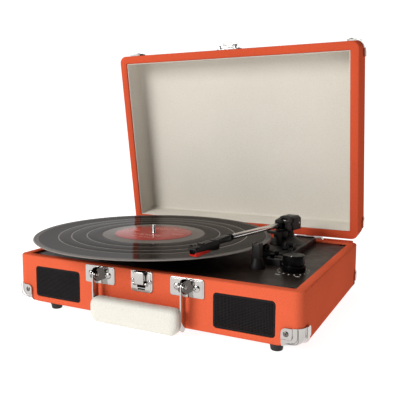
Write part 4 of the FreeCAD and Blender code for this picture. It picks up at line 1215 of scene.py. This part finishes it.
def small_controls():
    """The two ribbed slide caps, and the lever that lifts the arm."""
    for name, body in (("speed_switch", "speed"), ("auto_stop_switch", "auto_stop")):
        low, high, mid = local(name)
        s = Shape()
        s.slab((low.x, low.y, high.z - 3.2), high, 0.6, 3)
        for k in range(4):
            x = low.x + 1.1 + k * 1.05
            s.slab((x - 0.2, low.y + 0.7, high.z - 0.3), (x + 0.2, high.y - 0.7, high.z + 0.15), 0.1, 1)
        s.slab((low.x + 0.7, mid.y - 1.6, low.z), (low.x + 4.7, mid.y + 1.6, high.z - 2.6), 0.2, 1)
        piece(f"{name}_cap", s, "gloss_black", body, stands_for=(name,))
    x, y, z = pivot("cue_lever_turn")
    end = local("cue_lever")[0].y
    half_hub = [(TIP, 6.1), (1.2, 6.1), (1.2, 4.2), (2.4, 4.2), (2.8, 3.8)]
    s = Shape()
    s.lathe([(r, -h) for r, h in half_hub] + half_hub[::-1], (x, y, z), "x", 24)
    s.slab((x - 1.9, end + 1.6, z - 1.0), (x + 1.9, y, z + 1.0), 0.5, 2)
    s.rod(2.2, -3, 3, (x, end + 2.2, z), "x", 24, (0.6, 0.6))
    piece("cue_lever_arm", s, "gloss_black", "cue_lever", stands_for=("cue_lever",))


arm_tower()
arm_bar()
head()
arm_base()
rest_post()
small_controls()


# ---- lid catch ----

def lid_catch():
    """The plate on the lid's front edge, and the hasp that hangs from its two ears."""
    low, high, _ = local("lid_catch_plate", "lid")
    face = lid_mid.y - CASE_D / 2
    width, height, sheet = high.x - low.x, 15.0, 1.0
    centre, top = low.z + height / 2, face - sheet
    s = Shape()
    s.prism(rounded_rect(width, height, 3.4, (0, centre)), face, top, "y", 0.5)
    s.prism(rounded_rect(width - 12, height - 4, 2.0, (-1, centre)), top, top - 0.25, "y", 0.2)
    y, z = face - 3.4, 2.5
    ear = [(face - 0.8, z + 3)] + arc((y, z), 2.2, 90, 270, 10) + [(face - 0.8, z - 2.4)]
    for x in (-11.4, 11.4):
        s.prism(ear, x - 1, x + 1, "x", 0.2)
    for way in (-1, 1):
        screw_head(s, (way * (width / 2 - 3.4), top, centre + 2), 1.7, 0.8)
    piece("catch_plate", s, "dull_plate", "lid", "lid", stands_for=("lid_catch_plate",))
    low, high, _ = local("lid_hasp", "lid")
    side = [(y + 0.2, z - 1.5), (y - 1.5, z - 1.2), (y - 1.8, z + 3), (y - 1.8, z + 8.4), (y - 2.6, z + 9.8),
            (low.y + 0.5, z + 10.1), (low.y, z + 10.8), (low.y + 0.5, z + 11.5), (y - 1.0, z + 11.3),
            (y, z + 9.5), (y - 0.1, z + 3), (y + 0.9, z + 1.6)]
    hasp = Shape()
    for end in (low.x + 2.4, high.x - 2.4):
        hasp.prism(side, 0, end, "x", 0.5)
    hasp.rod(1.1, low.x, high.x, (0, y, z), "x", 16)
    turns = [2 * math.pi * k / 24 for k in range(25)]
    hasp.tube([(7.2 - 2.2 * math.cos(a), y - 2.4 - 0.3 * math.sin(a), z + 6.6 + 2.4 * math.sin(a))
               for a in turns], 0.7, 10)
    piece("lid_hasp_tongue", hasp, "dull_plate", "hasp", "lid", stands_for=("lid_hasp",))


lid_catch()


# ---- studio ----

def studio():
    """A glowing pale floor, and two soft lights above it."""
    ground = bpy.data.meshes.new("studio_floor")
    reach = 50.0
    ground.from_pydata([(-reach, -reach, 0), (reach, -reach, 0), (reach, reach, 0), (-reach, reach, 0)], [],
                       [(0, 1, 2, 3)])
    plane = bpy.data.objects.new("studio_floor", ground)
    bpy.context.collection.objects.link(plane)
    floor = Nodes("pale_floor", 0.9, Specular_IOR_Level=0.0, Emission_Strength=0.96)
    share = floor.math("MULTIPLY", floor.radius((0, 0, 0)), 0.5)
    floor.put("Emission Color", floor.ramp(share, (0.15, 0.95), (0.3, 1.0)))
    floor.put("Base Color", floor.ramp(floor.noise(2, 2), (0.3, 0.36), (0.7, 0.39)))
    ground.materials.append(floor.material)
    bpy.context.scene.world = sky()
    for name, place, size, power in (("key_light", (-0.9, -1.8, 0.95), 1.0, 32),
                                     ("top_light", (-0.5, 0.3, 2.2), 1.2, 6)):
        light = bpy.data.lights.new(name, "AREA")
        light.size = size
        light.energy = power
        lamp = bpy.data.objects.new(name, light)
        lamp.location = place
        lamp.rotation_euler = (Vector((0, 0, 0.12)) - Vector(place)).to_track_quat("-Z", "Y").to_euler()
        bpy.context.collection.objects.link(lamp)
    bpy.context.scene.view_settings.view_transform = "Standard"


def sky():
    """A white backdrop behind the part that falls off to grey in front and to its right."""
    world = bpy.data.worlds.new("soft_studio")
    t = Tree(world)
    where = t.add("TexCoord", {}, "Generated")

    def fall(direction, near, far, low, high):
        """A level that goes from near to far as the view turns towards a direction."""
        dot = t.add("VectorMath", {0: where, 1: direction}, "Value", operation="DOT_PRODUCT")
        ends = {"From Min": low, "From Max": high, "To Min": near, "To Max": far}
        return t.add("MapRange", {"Value": dot, **ends})

    backdrop = fall((-0.45, 0.89, 0), 0.0, 1.1, 0.74, 0.86)
    upper = fall((0, 0, 1), 0.14, 0.6, 0.15, 0.5)
    right = fall((0.98, -0.2, 0), 1.0, 0.12, 0.0, 0.6)
    horizon = t.math("MULTIPLY", fall((0, 0, 1), 1.0, 0.0, 0.1, 0.16), fall((1, 0, 0), 1.0, 0.0, 0.1, 0.5))
    level = t.math("MAXIMUM", t.math("MAXIMUM", backdrop, horizon), t.math("MULTIPLY", upper, right))
    background = t.tree.nodes["Background"].inputs
    t.feed(background["Color"], (1, 1, 1, 1))
    t.feed(background["Strength"], level)
    return world


def camera():
    """The photograph's camera, from the fit to the record and the case."""
    azimuth, elevation, roll = math.radians(27.17), math.radians(6.754), math.radians(0.099)
    place = (315.47, -622.63, 215.56)
    data = bpy.data.cameras.new("camera")
    data.lens = 49.43
    data.shift_x, data.shift_y = 0.0154, -0.0122
    data.clip_start = 0.01
    eye = bpy.data.objects.new("camera", data)
    back = Vector((math.sin(azimuth) * math.cos(elevation), -math.cos(azimuth) * math.cos(elevation),
                   math.sin(elevation)))
    eye.location = LAYOUT["case"] @ Vector(place)
    turn = back.to_track_quat("Z", "Y").to_matrix().to_4x4()
    eye.matrix_world = Matrix.Translation(eye.location) @ turn @ Matrix.Rotation(roll, 4, "Z")
    bpy.context.collection.objects.link(eye)
    bpy.context.scene.camera = eye


studio()
camera()
